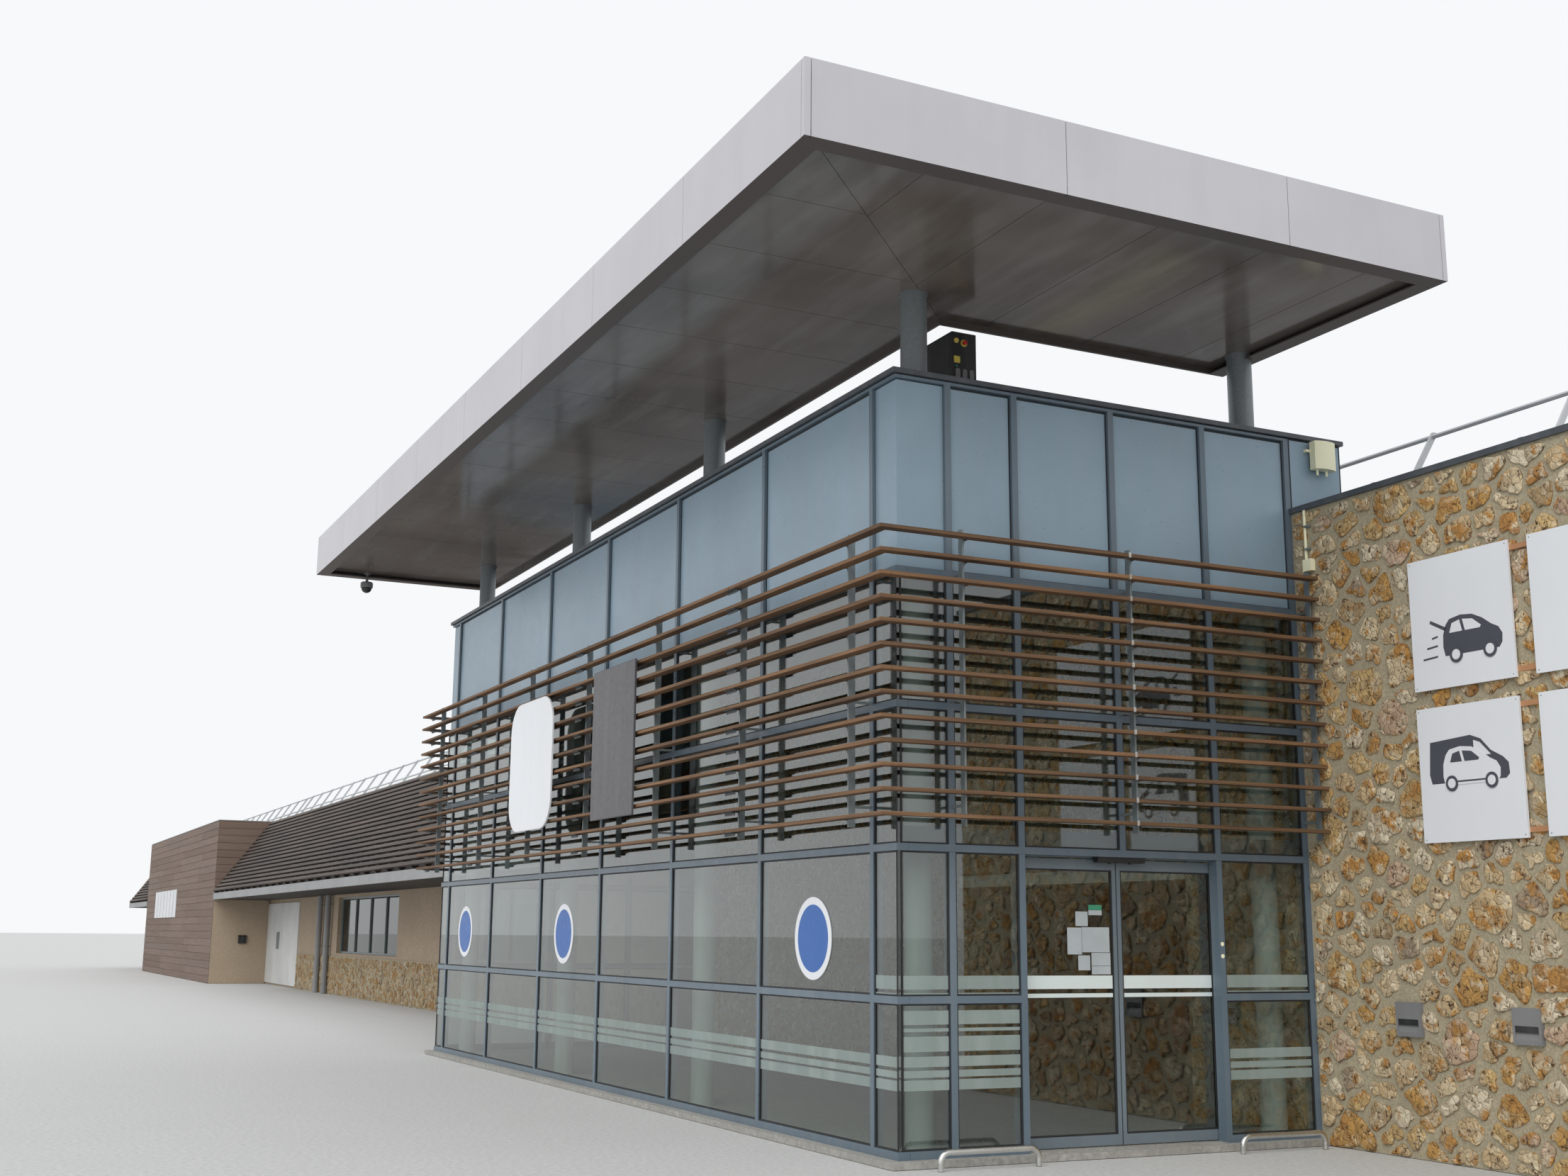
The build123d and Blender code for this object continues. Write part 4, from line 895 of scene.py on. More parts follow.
# painted light and shade: each chip's facet is darkened by its own random amount
chip_light_and_shade = blend(tree, ramp(tree, facet_tone, 0.0, 1.0, 0.0, 0.55), washed, (0.270, 0.168, 0.078))
chips = add(tree, "TexVoronoi", {"Vector": place, "Scale": 30.0}, feature="DISTANCE_TO_EDGE")
pits = add(tree, "TexNoise", {"Vector": place, "Scale": 40.0, "Detail": 8.0, "Roughness": 0.78})
dark = blend(tree, ramp(tree, pits.outputs[0], 0.400, 0.460, 1.0, 0.0), chip_light_and_shade, (0.120, 0.062, 0.024))
# painted shade: the shade channel darkens the rim's faces and every face of the plinth
painted_shade_share = ramp(tree, tone_of(tree, "Green"), 0.0, 1.0, 0.0, 0.42)
painted_shade_mix = blend(tree, painted_shade_share, dark, (0.190, 0.140, 0.085))
tree.links.new(painted_shade_mix, shader.inputs["Base Color"])
chip_rim = ramp(tree, chips.outputs[0], 0.0, 0.12, 0.0, 0.45)
chip_height = reckon(tree, "ADD", chip_rim, reckon(tree, "MULTIPLY", facet_tone, 0.35))
relief(tree, shader, reckon(tree, "ADD", pits.outputs[0], chip_height), 1.0, 0.012)
print("stone finish with", len(stone_colours), "colours")

# %% [markdown]
# The street wall is the one that the photograph shows from near by, so its stones get the most
# points. The wall lights and the cable pipe stand on it, and no stone may grow through them.

# %% Stones of the street wall
wall_low, wall_high = box_of("stone_walls")
stone_proud, joint_half = 0.0135, 0.0140
light_wide, light_room = 0.125, 0.004


def light_windows(low_y):
    """Rectangles that the wall lights take, in the wall's own (along, up) measure."""
    low, high = box_of("wall_lights")
    return [(y0 - low_y - light_room, y0 - low_y + light_wide + light_room,
             low.z - light_room, high.z + light_room) for y0 in (low.y, high.y - light_wide)]


street_wide = -0.002 - wall_low.y


def street_point(a, b, out):
    return (wall_low.x - out, wall_low.y + a, b)


pipe_foot, pipe_end = box_of("wall_conduit_and_antenna")[0].z, 2.65
pipe_line = (street_wide - 0.093, street_wide - 0.057, pipe_foot - 0.01, pipe_end)
under_cap, street_steps, street_seed = 0.004, 28, 7
street = stone_face("street", street_point, street_wide, wall_high.z - under_cap, 0.038, 0.112,
                    stone_proud, joint_half, street_steps, street_seed,
                    keep_out=light_windows(wall_low.y) + [pipe_line])
street.place("rubble_stones_street", stone_look, slot="rubble_stone")

# %% [markdown]
# The same wall runs on into the glazed entrance, where it shows through the panes. These stones
# have fewer rings, because glass and distance soften them. They start behind the right door leaf,
# which slides close to the wall when the doors open.

# %% Stones inside the entrance
rings_plain = ((1.0, -0.25), (0.96, 0.6), (0.70, 1.0))
leaf_room, floor_edge, stones_end = 0.008, 0.03, 6.42
inner_steps, inner_seed = 14, 20
front_glass_in = box_of("door_leaf_right")[1].y + leaf_room
inside_top = box_of("pavilion_roof")[0].z
lintel_low, lintel_high = box_of("passage_lintel")
header_tall = 0.062
stretches = ((front_glass_in, lintel_low.y, floor_edge), (lintel_high.y, stones_end, floor_edge),
             (lintel_low.y, lintel_high.y, lintel_low.z + header_tall))
inner = Pieces()
for number, (y0, y1, z0) in enumerate(stretches):
    def inner_point(a, b, out, y0=y0, z0=z0):
        return (wall_low.x - out, y0 + a, z0 + b)

    part = stone_face("inner", inner_point, y1 - y0, inside_top - z0 - under_cap, 0.042, 0.100,
                      stone_proud, joint_half, inner_steps, inner_seed + number, rings=rings_plain)
    inner.take(part)
inner.place("rubble_stones_inside", stone_look, slot="rubble_stone")

# %% [markdown]
# Through the sliding doors the photograph shows a wide dark way through the stone wall, with a
# white head over it. The head is a folded metal case with end caps and a lower lip.

# %% Head of the passage
head = Pieces()
head_front, cap_long, lip_tall, cap_proud = wall_low.x - 0.055, 0.012, 0.004, 0.002
head.block((head_front, lintel_low.y + cap_long, lintel_low.z + lip_tall),
           (wall_low.x, lintel_high.y - cap_long, lintel_low.z + header_tall), bevel=0.003)
for y in (lintel_low.y, lintel_high.y - cap_long):
    head.block((head_front - cap_proud, y, lintel_low.z),
               (wall_low.x, y + cap_long, lintel_low.z + header_tall), bevel=0.003)
head.block((head_front, lintel_low.y + cap_long, lintel_low.z - cap_proud),
           (head_front + lip_tall, lintel_high.y - cap_long, lintel_low.z + lip_tall))
head_look = coated("passage head", (0.92, 0.92, 0.86), 0.5, runs=0.05, tone=0.03)
head.place("passage_head", head_look, slot="door_metal")

# %% [markdown]
# A low plinth of the same stone runs along the wing, under its windows. It gets few points for
# each stone, as it is far off, and a shade on every face, which paints the shade of the roof above
# it and also the soil splashed on it.

# %% Stones of the plinth
plinth_low, plinth_high = box_of("wing_plinth")


def plinth_point(a, b, out):
    return (plinth_low.x - out, plinth_low.y + a, b)


plinth_steps, plinth_seed, plinth_shade_and_soil = 12, 41, 0.9
plinth = stone_face("plinth", plinth_point, plinth_high.y - plinth_low.y, plinth_high.z - under_cap,
                    0.040, 0.105, stone_proud, joint_half, plinth_steps, plinth_seed, rings=rings_plain)
# painted shade of the roof, and splashed soil: every plinth face gets a high shade
plinth.shades = [max(shade, plinth_shade_and_soil) for shade in plinth.shades]
plinth.place("rubble_stones_plinth", stone_look, slot="rubble_stone")

# %% [markdown]
# Many small things repeat for each separate solid of a node: every pane has its seals and every
# board its screws. This helper walks a node's edges and gathers the corners that hang together.

# %% Separate solids of a node
weld_share = 20000  # corners closer than a twentieth of a millimetre count as one


def solids_in(node):
    """The lowest and highest corner of each separate solid of a node, in order of place."""
    solid = frame["nodes"][node]
    spots = [solid.matrix_world @ corner.co for corner in solid.data.vertices]
    chief, first = list(range(len(spots))), {}

    def top(k):
        while chief[k] != k:
            chief[k] = chief[chief[k]]
            k = chief[k]
        return k

    for k, spot in enumerate(spots):
        key = tuple(round(c * weld_share) for c in spot)
        chief[top(k)] = top(first.setdefault(key, k))
    for edge in solid.data.edges:
        chief[top(edge.vertices[0])] = top(edge.vertices[1])
    heaps = {}
    for k, spot in enumerate(spots):
        heaps.setdefault(top(k), []).append(spot)
    boxes = [(tuple(min(p[i] for p in heap) for i in range(3)),
              tuple(max(p[i] for p in heap) for i in range(3))) for heap in heaps.values()]
    return [(Vector(low), Vector(high)) for low, high in sorted(boxes)]


panes = solids_in("glazing_glass")
door_panes = {side: solids_in("door_glass_" + side)[0] for side in ("left", "right")}
band_sheets = solids_in("band_panels")
print(len(panes), "fixed panes,", len(band_sheets), "band panels")

# %% [markdown]
# Black rubber seals run round every pane, on both faces, and round the band's panels on their
# outer face. They make the thin dark line that the photograph shows beside every bar. Round the
# band's panels that line is partly the shade of the recessed joint beside each proud bar, so those
# strips are partly painted shade. A sheet's thinnest side tells which way it faces, so the same
# four strips fit every sheet.

# %% Seals
seal_wide, seal_proud = 0.0065, 0.003
band_seal_wide, band_seal_proud = 0.005, 0.0015
thin_sheet, rear_from = 0.02, 6.0  # sheets are thinner than this, and the rear side starts here


def rim(pieces, low, high, axis, side, wide, proud, tone=0.3):
    """Four strips round the rim of a flat sheet. Side is -1 for its low face and 1 for its high one."""
    a, b = [k for k in range(3) if k != axis]
    span = (high[axis], high[axis] + proud) if side > 0 else (low[axis] - proud, low[axis])
    for along, across, inset in ((a, b, 0.0), (b, a, wide)):
        for far_end in (False, True):
            start, stop = list(low), list(high)
            start[axis], stop[axis] = span
            start[along], stop[along] = low[along] + inset, high[along] - inset
            if far_end:
                start[across] = high[across] - wide
            else:
                stop[across] = low[across] + wide
            pieces.block(start, stop, tone)


def thin_axis(low, high):
    """The axis along which a sheet is thinnest."""
    size = high - low
    return min(range(3), key=lambda k: size[k])


rubber = coated("black rubber", (0.018, 0.019, 0.021), 0.62, runs=0.05)
seals = Pieces()
for low, high in panes:
    for side in (-1, 1):
        rim(seals, low, high, thin_axis(low, high), side, seal_wide, seal_proud)
# the band panels' strips: partly seals, partly painted shade of the recessed joints
for low, high in band_sheets:
    axis = thin_axis(low, high)
    if high[axis] - low[axis] < thin_sheet:
        side = 1 if low[axis] > rear_from and axis == 1 else -1
        rim(seals, low, high, axis, side, band_seal_wide, band_seal_proud)
seals.place("pane_seals", rubber, slot="glass")
for side, (low, high) in door_panes.items():
    door_seal = Pieces()
    for face in (-1, 1):
        rim(door_seal, low, high, 1, face, seal_wide, seal_proud)
    door_seal.place("door_seals_" + side, rubber, body="door_" + side, slot="glass")

# %% [markdown]
# Frosted film stripes warn people of the glass. The sliding leaves have two solid white ones, the
# fixed panes beside the door a whole ladder of pale ones, and the long side a few low ones. The
# film is a thin sheet before the glass, half see-through, with worn patches.

# %% Film finishes and stripe heights
film_thick, least_stripe = 0.0007, 0.002
front_zone = 0.1  # what lies nearer to the street than this belongs to the door face
warning = ((1.256, 1.355), (1.205, 1.230))
ladder = ((1.002, 1.103), (0.951, 0.976), (0.808, 0.917), (0.699, 0.774), (0.624, 0.674), (0.532, 0.607))
low_ladder = ladder[3:]

film, tree, shader, place = finish("frosted film", 0.6)
worn = use(tree, rain_runs, Width=9.0, Length=1.5)
tree.links.new(blend(tree, worn.outputs["Mask"], (0.50, 0.60, 0.575), (0.62, 0.70, 0.68)),
               shader.inputs["Base Color"])
tree.links.new(ramp(tree, worn.outputs["Mask"], 0.0, 0.6, 0.40, 0.46), shader.inputs["Alpha"])
white_film = coated("white film", (0.72, 0.80, 0.79), 0.35, runs=0.08, tone=0.03)
print("films for", len(warning) + len(ladder), "stripe heights")


# %% Frosted and white stripes
def stripes(pieces, pane, levels, face_axis):
    """Thin level strips on a pane's low face, at real heights, cut to the pane."""
    low, high = pane
    for z0, z1 in levels:
        z0, z1 = max(z0 * half, low.z + seal_wide), min(z1 * half, high.z - seal_wide)
        if z1 - z0 > least_stripe:
            start, stop = Vector(low), Vector(high)
            start.z, stop.z = z0, z1
            stop[face_axis] = low[face_axis]
            start[face_axis] = low[face_axis] - film_thick
            other = 1 - face_axis
            start[other] += seal_wide
            stop[other] -= seal_wide
            pieces.block(start, stop)


films = Pieces()
door_start_x = door_panes["left"][0].x
for pane in panes:
    low, high = pane
    if thin_axis(low, high) == 0:
        stripes(films, pane, low_ladder if low.y > front_zone else warning + low_ladder, 0)
    elif high.y < front_zone:
        levels = warning + ladder if high.x < door_start_x else warning + low_ladder
        stripes(films, pane, levels, 1)
films.place("frosted_stripes", film, slot="glass")
door_stripes = ((1.250, 1.351), (1.184, 1.215))
for side, pane in door_panes.items():
    white = Pieces()
    stripes(white, pane, door_stripes, 1)
    white.place("door_stripes_" + side, white_film, body="door_" + side, slot="glass")

# %% [markdown]
# Three round stickers on the long side and the notices on the left leaf are bare here: plain
# discs and plain sheets, without words, marks or pictures. A disc is a profile turned once about
# its axis, which gives a clean round rim.

# %% Round stickers
disc_blue = coated("blue disc", (0.02, 0.12, 0.42), 0.35, runs=0.05, tone=0.03)
disc_radius, disc_ring, disc_points, outward = 0.165, 0.030, 48, (-1, 0, 0)
disc_places = ((1.41, 1.62), (7.64, 1.64), (11.68, 1.66))
glass_face = min(low.x for low, high in panes if thin_axis(low, high) == 0)
rings, discs = Pieces(), Pieces()
for y, z in disc_places:
    spot = (glass_face, y * half, z * half)
    rings.turned(((disc_radius, 0.0), (disc_radius, 0.0008), (disc_radius - 0.002, 0.001)), spot,
                 outward, count=disc_points)
    discs.turned(((disc_radius - disc_ring, 0.001), (disc_radius - disc_ring, 0.0016)), spot,
                 outward, count=disc_points)
rings.place("sticker_rims", looks["sign_white"], slot="glass")
discs.place("sticker_discs", disc_blue, slot="glass")

# %% [markdown]
# The notices are thin sheets on the leaf's glass, placed in shares of its width. Every other one
# stands a little further out, so that sheets that overlap don't flicker. They ride on the leaf.

# %% Bare notices on the left leaf
paper = coated("paper sheets", (0.44, 0.48, 0.50), 0.7, runs=0.02, tone=0.06, scale=9.0)
green_paper = coated("green sheet", (0.05, 0.30, 0.17), 0.6, runs=0.02)
paper_thick, last_share = 0.0004, 0.97
notices = ((0.75, 0.89, 1.858, 1.898), (0.75, 0.89, 1.818, 1.856), (0.61, 0.74, 1.732, 1.845),
           (0.52, 0.67, 1.513, 1.720), (0.674, 0.965, 1.530, 1.724), (0.77, 0.97, 1.426, 1.526),
           (0.63, 0.755, 1.391, 1.506), (0.77, 0.97, 1.360, 1.423))
leaf_low, leaf_high = door_panes["left"]
wide = leaf_high.x - leaf_low.x
sheets, green = Pieces(), Pieces()
for number, (a, b, z0, z1) in enumerate(notices):
    lift = paper_thick * (1 + number % 2)
    low = (leaf_low.x + a * wide, leaf_low.y - lift, z0 * half)
    high = (leaf_low.x + min(b, last_share) * wide, leaf_low.y, z1 * half)
    (green if number == 0 else sheets).block(low, high, 0.4 + 0.05 * number)
sheets.place("door_notices", paper, body="door_left", slot="glass")
green.place("door_notice_green", green_paper, body="door_left", slot="glass")

# %% [markdown]
# The sliding door also has a motion sensor under its head, a steel track in the floor, two round
# stickers on the jamb and fine black brushes where the leaves meet. The sensor and the track stay
# with the building, but each brush rides on its leaf and moves with it.

# %% Door sensor and track
leaf_left, leaf_right = box_of("door_leaf_left"), box_of("door_leaf_right")
head_under = leaf_left[1].z + 0.005
middle_x = (leaf_left[1].x + leaf_right[0].x) / 2
sensor_half, sensor_tall, downward, streetward = 0.115, 0.021, (0, 0, -1), (0, -1, 0)
sensor = Pieces()
sensor_side = ((0.006, 0.0), (0.048, 0.0), (0.040, sensor_tall), (0.014, sensor_tall))
sensor.prism([(middle_x - sensor_half, y, head_under - down) for y, down in sensor_side],
             (1, 0, 0), 2 * sensor_half)
for k in (-1, 1):
    sensor.turned(((0.007, 0.0), (0.007, 0.004), (0.004, 0.006)),
                  (middle_x + k * 0.05, 0.027, head_under - 0.020), downward, count=16)
sensor.place("door_sensor", rubber, slot="door_metal")
floor_top, track_wide = box_of("pavilion_floor")[1].z, 0.005
track = Pieces()
for y in (leaf_left[0].y - 0.006, leaf_left[1].y + 0.001):
    track.block((leaf_left[0].x, y, floor_top - 0.001),
                (leaf_right[1].x, y + track_wide, floor_top + 0.003), bevel=0.001)
track.place("door_track", looks["stainless"], slot="door_metal")

# %% Jamb stickers and door brushes
jamb_x, sticker_profile = 1.5165, ((0.0085, 0.0), (0.0085, 0.0007), (0.0075, 0.0009))
dots = Pieces()
for z in (0.80, 0.752):
    dots.turned(sticker_profile, (jamb_x, 0.0, z), streetward)
dots.place("jamb_stickers", looks["cream_box"], slot="door_metal")
brush_in, brush_out, brush_inset = 0.0005, 0.0012, 0.004
for side, (low, high) in (("left", leaf_left), ("right", leaf_right)):
    x, before, after = (high.x, brush_in, brush_out) if side == "left" else (low.x, brush_out, brush_in)
    brush = Pieces()
    brush.block((x - before, low.y + brush_inset, low.z + brush_inset),
                (x + after, high.y - brush_inset, high.z - brush_inset))
    brush.place("door_brush_" + side, rubber, body="door_" + side, slot="door_metal")

# %% [markdown]
# The timber slats are held by small steel clips on every upright, each with one bolt. An upright
# knows nothing of the slats, so the clips take their heights from the slats' own lower faces.

# %% Slat clips
slats = solids_in("louvre_slats")
slat_face = min(low.x for low, high in slats)
slat_rows = sorted({round(low.z, 4) for low, high in slats})
dark_steel = coated("dark steel", (0.055, 0.058, 0.062), 0.5, runs=0.2)
clip_long, clip_thick, clip_deep, clip_tall = 0.016, 0.0022, 0.028, 0.016
bolt_down, bolt_in, bolt_profile = 0.009, 0.013, ((0.0035, 0.0), (0.0035, 0.0028))
clips, bolts = Pieces(), Pieces()
for low, high in solids_in("louvre_posts"):
    along = 1 if high.y - low.y < thin_sheet else 0
    across = 1 - along
    outer, inward = (low[across], 1) if low[across] < 0 else (high[across], -1)
    a0, way = high[along], [0, 0, 0]
    way[along] = 1
    for z in slat_rows:
        start, stop = [0, 0, 0], [0, 0, 0]
        start[along], stop[along] = a0, a0 + clip_long
        start[across], stop[across] = sorted((outer, outer + inward * clip_deep))
        start[2], stop[2] = z - clip_thick, z
        clips.block(start, stop)
        start[2], stop[2] = z - clip_tall, z - clip_thick
        stop[along] = a0 + clip_thick
        clips.block(start, stop)
        spot = [0, 0, z - bolt_down]
        spot[along], spot[across] = a0 + clip_thick, outer + inward * bolt_in
        bolts.turned(bolt_profile, spot, way, count=6)
clips.place("slat_clips", dark_steel, slot="galvanised")
bolts.place("slat_clip_bolts", looks["galvanised"], slot="galvanised")

# %% [markdown]
# Where two lengths of slat meet at the front, a pale galvanised sleeve bridges the joint, and on
# the long side a dark bracket does. A joint is where a slat starts away from the corner.

# %% Sleeves and brackets at the slats' joints
past_corner = 0.5
sleeves, joint_arms = Pieces(), Pieces()
for low, high in slats:
    front = high.y < front_zone
    if front and low.x > past_corner:
        x0, x1, y0 = low.x - 0.007, low.x + 0.005, low.y - 0.0015
        sleeves.block((x0, y0, low.z - 0.003), (x1, high.y - 0.012, low.z), bevel=0.0006)
        sleeves.block((x0, y0, low.z), (x1, low.y, high.z + 0.004))
    elif not front and low.y > past_corner and low.x < 0:
        y0, y1 = low.y - 0.060, low.y + 0.045
        joint_arms.block((low.x + 0.006, y0, low.z - 0.004), (high.x - 0.006, y1, low.z), bevel=0.0008)
        joint_arms.block((low.x + 0.020, y0, low.z - 0.016), (low.x + 0.0225, y1, low.z - 0.004))
sleeves.place("slat_sleeves", looks["stainless"], slot="galvanised")
joint_arms.place("slat_joint_brackets", dark_steel, slot="galvanised")

# %% [markdown]
# Two bare boards hang on the slats of the long side. The white one has rounded ends, the grey one
# square corners. Each is a folded tray with a rim, on two rails that reach back to the slats. A
# cube with a bevel can't give such round ends, so the outline is a row of points on four arcs.

# %% Boards on the slats
def rounded(y0, y1, z0, z1, radius, steps=8):
    """Corner points of a rounded rectangle in the plane of Y and Z."""
    points = []
    for y, z, start in ((y1, z0, -90), (y1, z1, 0), (y0, z1, 90), (y0, z0, 180)):
        cy = y - radius if y == y1 else y + radius
        cz = z - radius if z == z1 else z + radius
        for k in range(steps + 1):
            angle = math.radians(start + 90 * k / steps)
            points.append((cy + radius * math.cos(angle), cz + radius * math.sin(angle)))
    return points


board_gap, board_thick, board_fold = 0.012, 0.011, 0.004
rail_half_wide, rail_inset = 0.008, 0.10
grey_board = coated("grey board", (0.085, 0.082, 0.088), 0.42, runs=0.2)
boards = (("slat_board_white", looks["sign_white"], (3.60, 4.375, 1.40, 2.15), 0.17),
          ("slat_board_grey", grey_board, (2.325, 2.93, 1.395, 2.17), 0.004))
hangers = Pieces()
for name, look, (y0, y1, z0, z1), radius in boards:
    board = Pieces()
    outer = slat_face - board_gap
    rim_points = rounded(y0, y1, z0, z1, radius)
    inner_points = rounded(y0 + board_fold, y1 - board_fold, z0 + board_fold, z1 - board_fold,
                           max(radius - board_fold, 0.001))
    count = len(rim_points)
    corners = [(outer, y, z) for y, z in rim_points]
    corners += [(outer - board_thick + 0.002, y, z) for y, z in rim_points]
    corners += [(outer - board_thick, y, z) for y, z in inner_points]
    faces = [tuple(range(count)), tuple(range(2 * count, 3 * count))[::-1]]
    for ring in (0, 1):
        faces += [(ring * count + k, (ring + 1) * count + k, (ring + 1) * count + (k + 1) % count,
                   ring * count + (k + 1) % count) for k in range(count)]
    board.add(corners, faces)
    board.place(name, look, slot="sign_white")
    for share in (0.22, 0.78):
        y = y0 + share * (y1 - y0)
        hangers.block((outer, y - rail_half_wide, z0 + rail_inset),
                      (slat_face, y + rail_half_wide, z1 - rail_inset))
hangers.place("slat_board_rails", looks["galvanised"], slot="galvanised")

# %% [markdown]
# The boards on the stone wall stay free of words and marks. The two near the entrance carry
# plain pictograms: a car in a hurry, and a car before a van. They are drawn here as outlines in
# shares of the board, lifted a hair off it, dark below and white for the windows and hubs.

# %% Pictogram helpers
sign_sheets = solids_in("sign_boards")
near_column = max(low.y for low, high in sign_sheets)
low_sign, high_sign = sorted((pair for pair in sign_sheets if pair[0].y == near_column),
                             key=lambda pair: pair[0].z)
pictogram_dark = coated("pictogram grey", (0.075, 0.080, 0.100), 0.4, runs=0.03, tone=0.03)
ink, blank = Pieces(), Pieces()


def on_sign(sign, s, t, lift):
    """A point of a sign: s runs right and t up, both in shares of its size."""
    low, high = sign
    return Vector((low.x - lift, high.y - s * (high.y - low.y), low.z + t * (high.z - low.z)))


def draw(pieces, sign, outline, level):
    """A flat shape on a sign, one film above the last."""
    lift = film_thick * level
    pieces.prism([on_sign(sign, s, t, lift) for s, t in outline], (1, 0, 0), film_thick)


def round_mark(sign, s, t, radius):
    """A dark tyre with a white hub."""
    for level, pieces, share in ((5, ink, 1.0), (6, blank, 0.62)):
        points = [(s + radius * share * math.cos(a) * 1.04, t + radius * share * math.sin(a))
                  for a in (math.tau * k / 28 for k in range(28))]
        draw(pieces, sign, points, level)


print(len(sign_sheets), "sign boards")

# %% [markdown]
# One car outline serves both signs, at its own place and size. It is a row of points, drawn in
# shares of the car's length.

# %% Car shapes
def car_outline(s, t, size):
    """A small hatchback seen from the side, its nose to the right."""
    shape = ((0.03, 0.0), (0.0, 0.12), (0.01, 0.28), (0.06, 0.40), (0.13, 0.47), (0.32, 0.50), (0.52, 0.48),
             (0.68, 0.41), (0.83, 0.31), (0.94, 0.26), (1.0, 0.17), (0.99, 0.06), (0.94, 0.0))
    return [(s + a * size, t + b * size) for a, b in shape]


def car_windows(s, t, size):
    """Rear and front side window."""
    rear = ((0.12, 0.29), (0.17, 0.41), (0.30, 0.44), (0.34, 0.29))
    front = ((0.39, 0.29), (0.35, 0.44), (0.52, 0.42), (0.66, 0.32), (0.64, 0.29))
    return [[(s + a * size, t + b * size) for a, b in shape] for shape in (rear, front)]


print("a car of", len(car_outline(0, 0, 1)), "corners")

# %% [markdown]
# The upper sign shows the car with three speed lines and an open boot lid. Each layer lies one
# film above the last: dark body, white windows, dark tyres and white hubs.

# %% Car in a hurry
car_s, car_t, car_size = 0.32, 0.235, 0.58
draw(ink, high_sign, car_outline(car_s, car_t, car_size), 1)
for shape in car_windows(car_s, car_t, car_size):
    draw(blank, high_sign, shape, 2)
for share in (0.22, 0.79):
    round_mark(high_sign, car_s + share * car_size, car_t, 0.062)
for s0, s1, t in ((0.11, 0.26, 0.225), (0.155, 0.265, 0.305), (0.21, 0.27, 0.375)):
    draw(ink, high_sign, [(s0, t), (s1, t + 0.01), (s1, t + 0.024), (s0, t + 0.014)], 1)
draw(ink, high_sign, [(0.195, 0.500), (0.345, 0.425), (0.355, 0.450), (0.205, 0.522)], 1)
print("car drawn,", len(ink.faces), "dark faces")

# %% [markdown]
# The lower sign shows a dark van and before it the same car in white. White on dark keeps the two
# apart, and the car's windows and sill are dark again.

# %% Car before a van
van = ((0.12, 0.43), (0.10, 0.50), (0.12, 0.74), (0.52, 0.765), (0.62, 0.73), (0.71, 0.64), (0.82, 0.585),
       (0.87, 0.54), (0.875, 0.46), (0.84, 0.43))
draw(ink, low_sign, van, 1)
draw(blank, low_sign, [(0.55, 0.725), (0.61, 0.705), (0.71, 0.61), (0.60, 0.61), (0.55, 0.64)], 2)
small_s, small_t, small_size = 0.25, 0.425, 0.53
draw(blank, low_sign, car_outline(small_s - 0.012, small_t - 0.012, small_size + 0.026), 3)
for shape in car_windows(small_s, small_t, small_size):
    draw(ink, low_sign, shape, 4)
draw(ink, low_sign, [(0.33, 0.430), (0.72, 0.430), (0.72, 0.442), (0.33, 0.442)], 4)
for share in (0.13, 0.86):
    round_mark(low_sign, small_s + share * small_size, small_t, 0.058)
ink.place("sign_pictograms_dark", pictogram_dark, slot="sign_white")
blank.place("sign_pictograms_white", looks["sign_white"], slot="sign_white")

# %% [markdown]
# Every sheet on the stone wall is screwed on at its four corners. A screw head is so small that ten
# points round it are plenty.

# %% Sign screws
screw_inset, screw_points = 0.012, 10
sign_screws = Pieces()
for low, high in sign_sheets:
    for y in (low.y + screw_inset, high.y - screw_inset):
        for z in (low.z + screw_inset, high.z - screw_inset):
            sign_screws.turned(((0.0026, 0.0), (0.0022, 0.0010)), (low.x, y, z), outward,
                               count=screw_points)
sign_screws.place("sign_screws", looks["galvanised"], slot="sign_white")

# %% [markdown]
# The wall lights have a black lens in their mouth, which also paints the deep shade under the
# mouth's top lip, and four screws, and two clips hold the cable pipe. Each light is a solid of its
# own, so one loop fits all of them.

# %% Wall light lenses and pipe clips
lens, screws = Pieces(), Pieces()
for low, high in solids_in("wall_lights"):
    # painted shade: a black block in the recess, which also stands for the lens
    lens.block((low.x + 0.0012, low.y + 0.0115, low.z + 0.044),
               (low.x + 0.0165, high.y - 0.0115, low.z + 0.0655))
    for y in (low.y + 0.006, high.y - 0.006):
        for z in (low.z + 0.007, high.z - 0.007):
            screws.turned(((0.0028, 0.0), (0.0024, 0.0011)), (low.x, y, z), outward,
                          count=screw_points)
lens.place("wall_light_lenses_and_shade", looks["case_black"], slot="light_grey_box")
pipe_low, pipe_high = solids_in("wall_conduit_and_antenna")[0]
pipe_middle, clip_half = (pipe_low.y + pipe_high.y) / 2, 0.014
for z in (2.47, 2.57):
    screws.block((pipe_high.x - 0.021, pipe_middle - clip_half, z),
                 (pipe_high.x, pipe_middle + clip_half, z + 0.008), bevel=0.0015)
screws.place("light_screws_and_pipe_clips", looks["galvanised"], slot="light_grey_box")

# %% [markdown]
# A dome camera hangs near the canopy's far corner, on a short stem with a wide base. Both the base
# and the dark half ball are profiles turned about one upright axis.

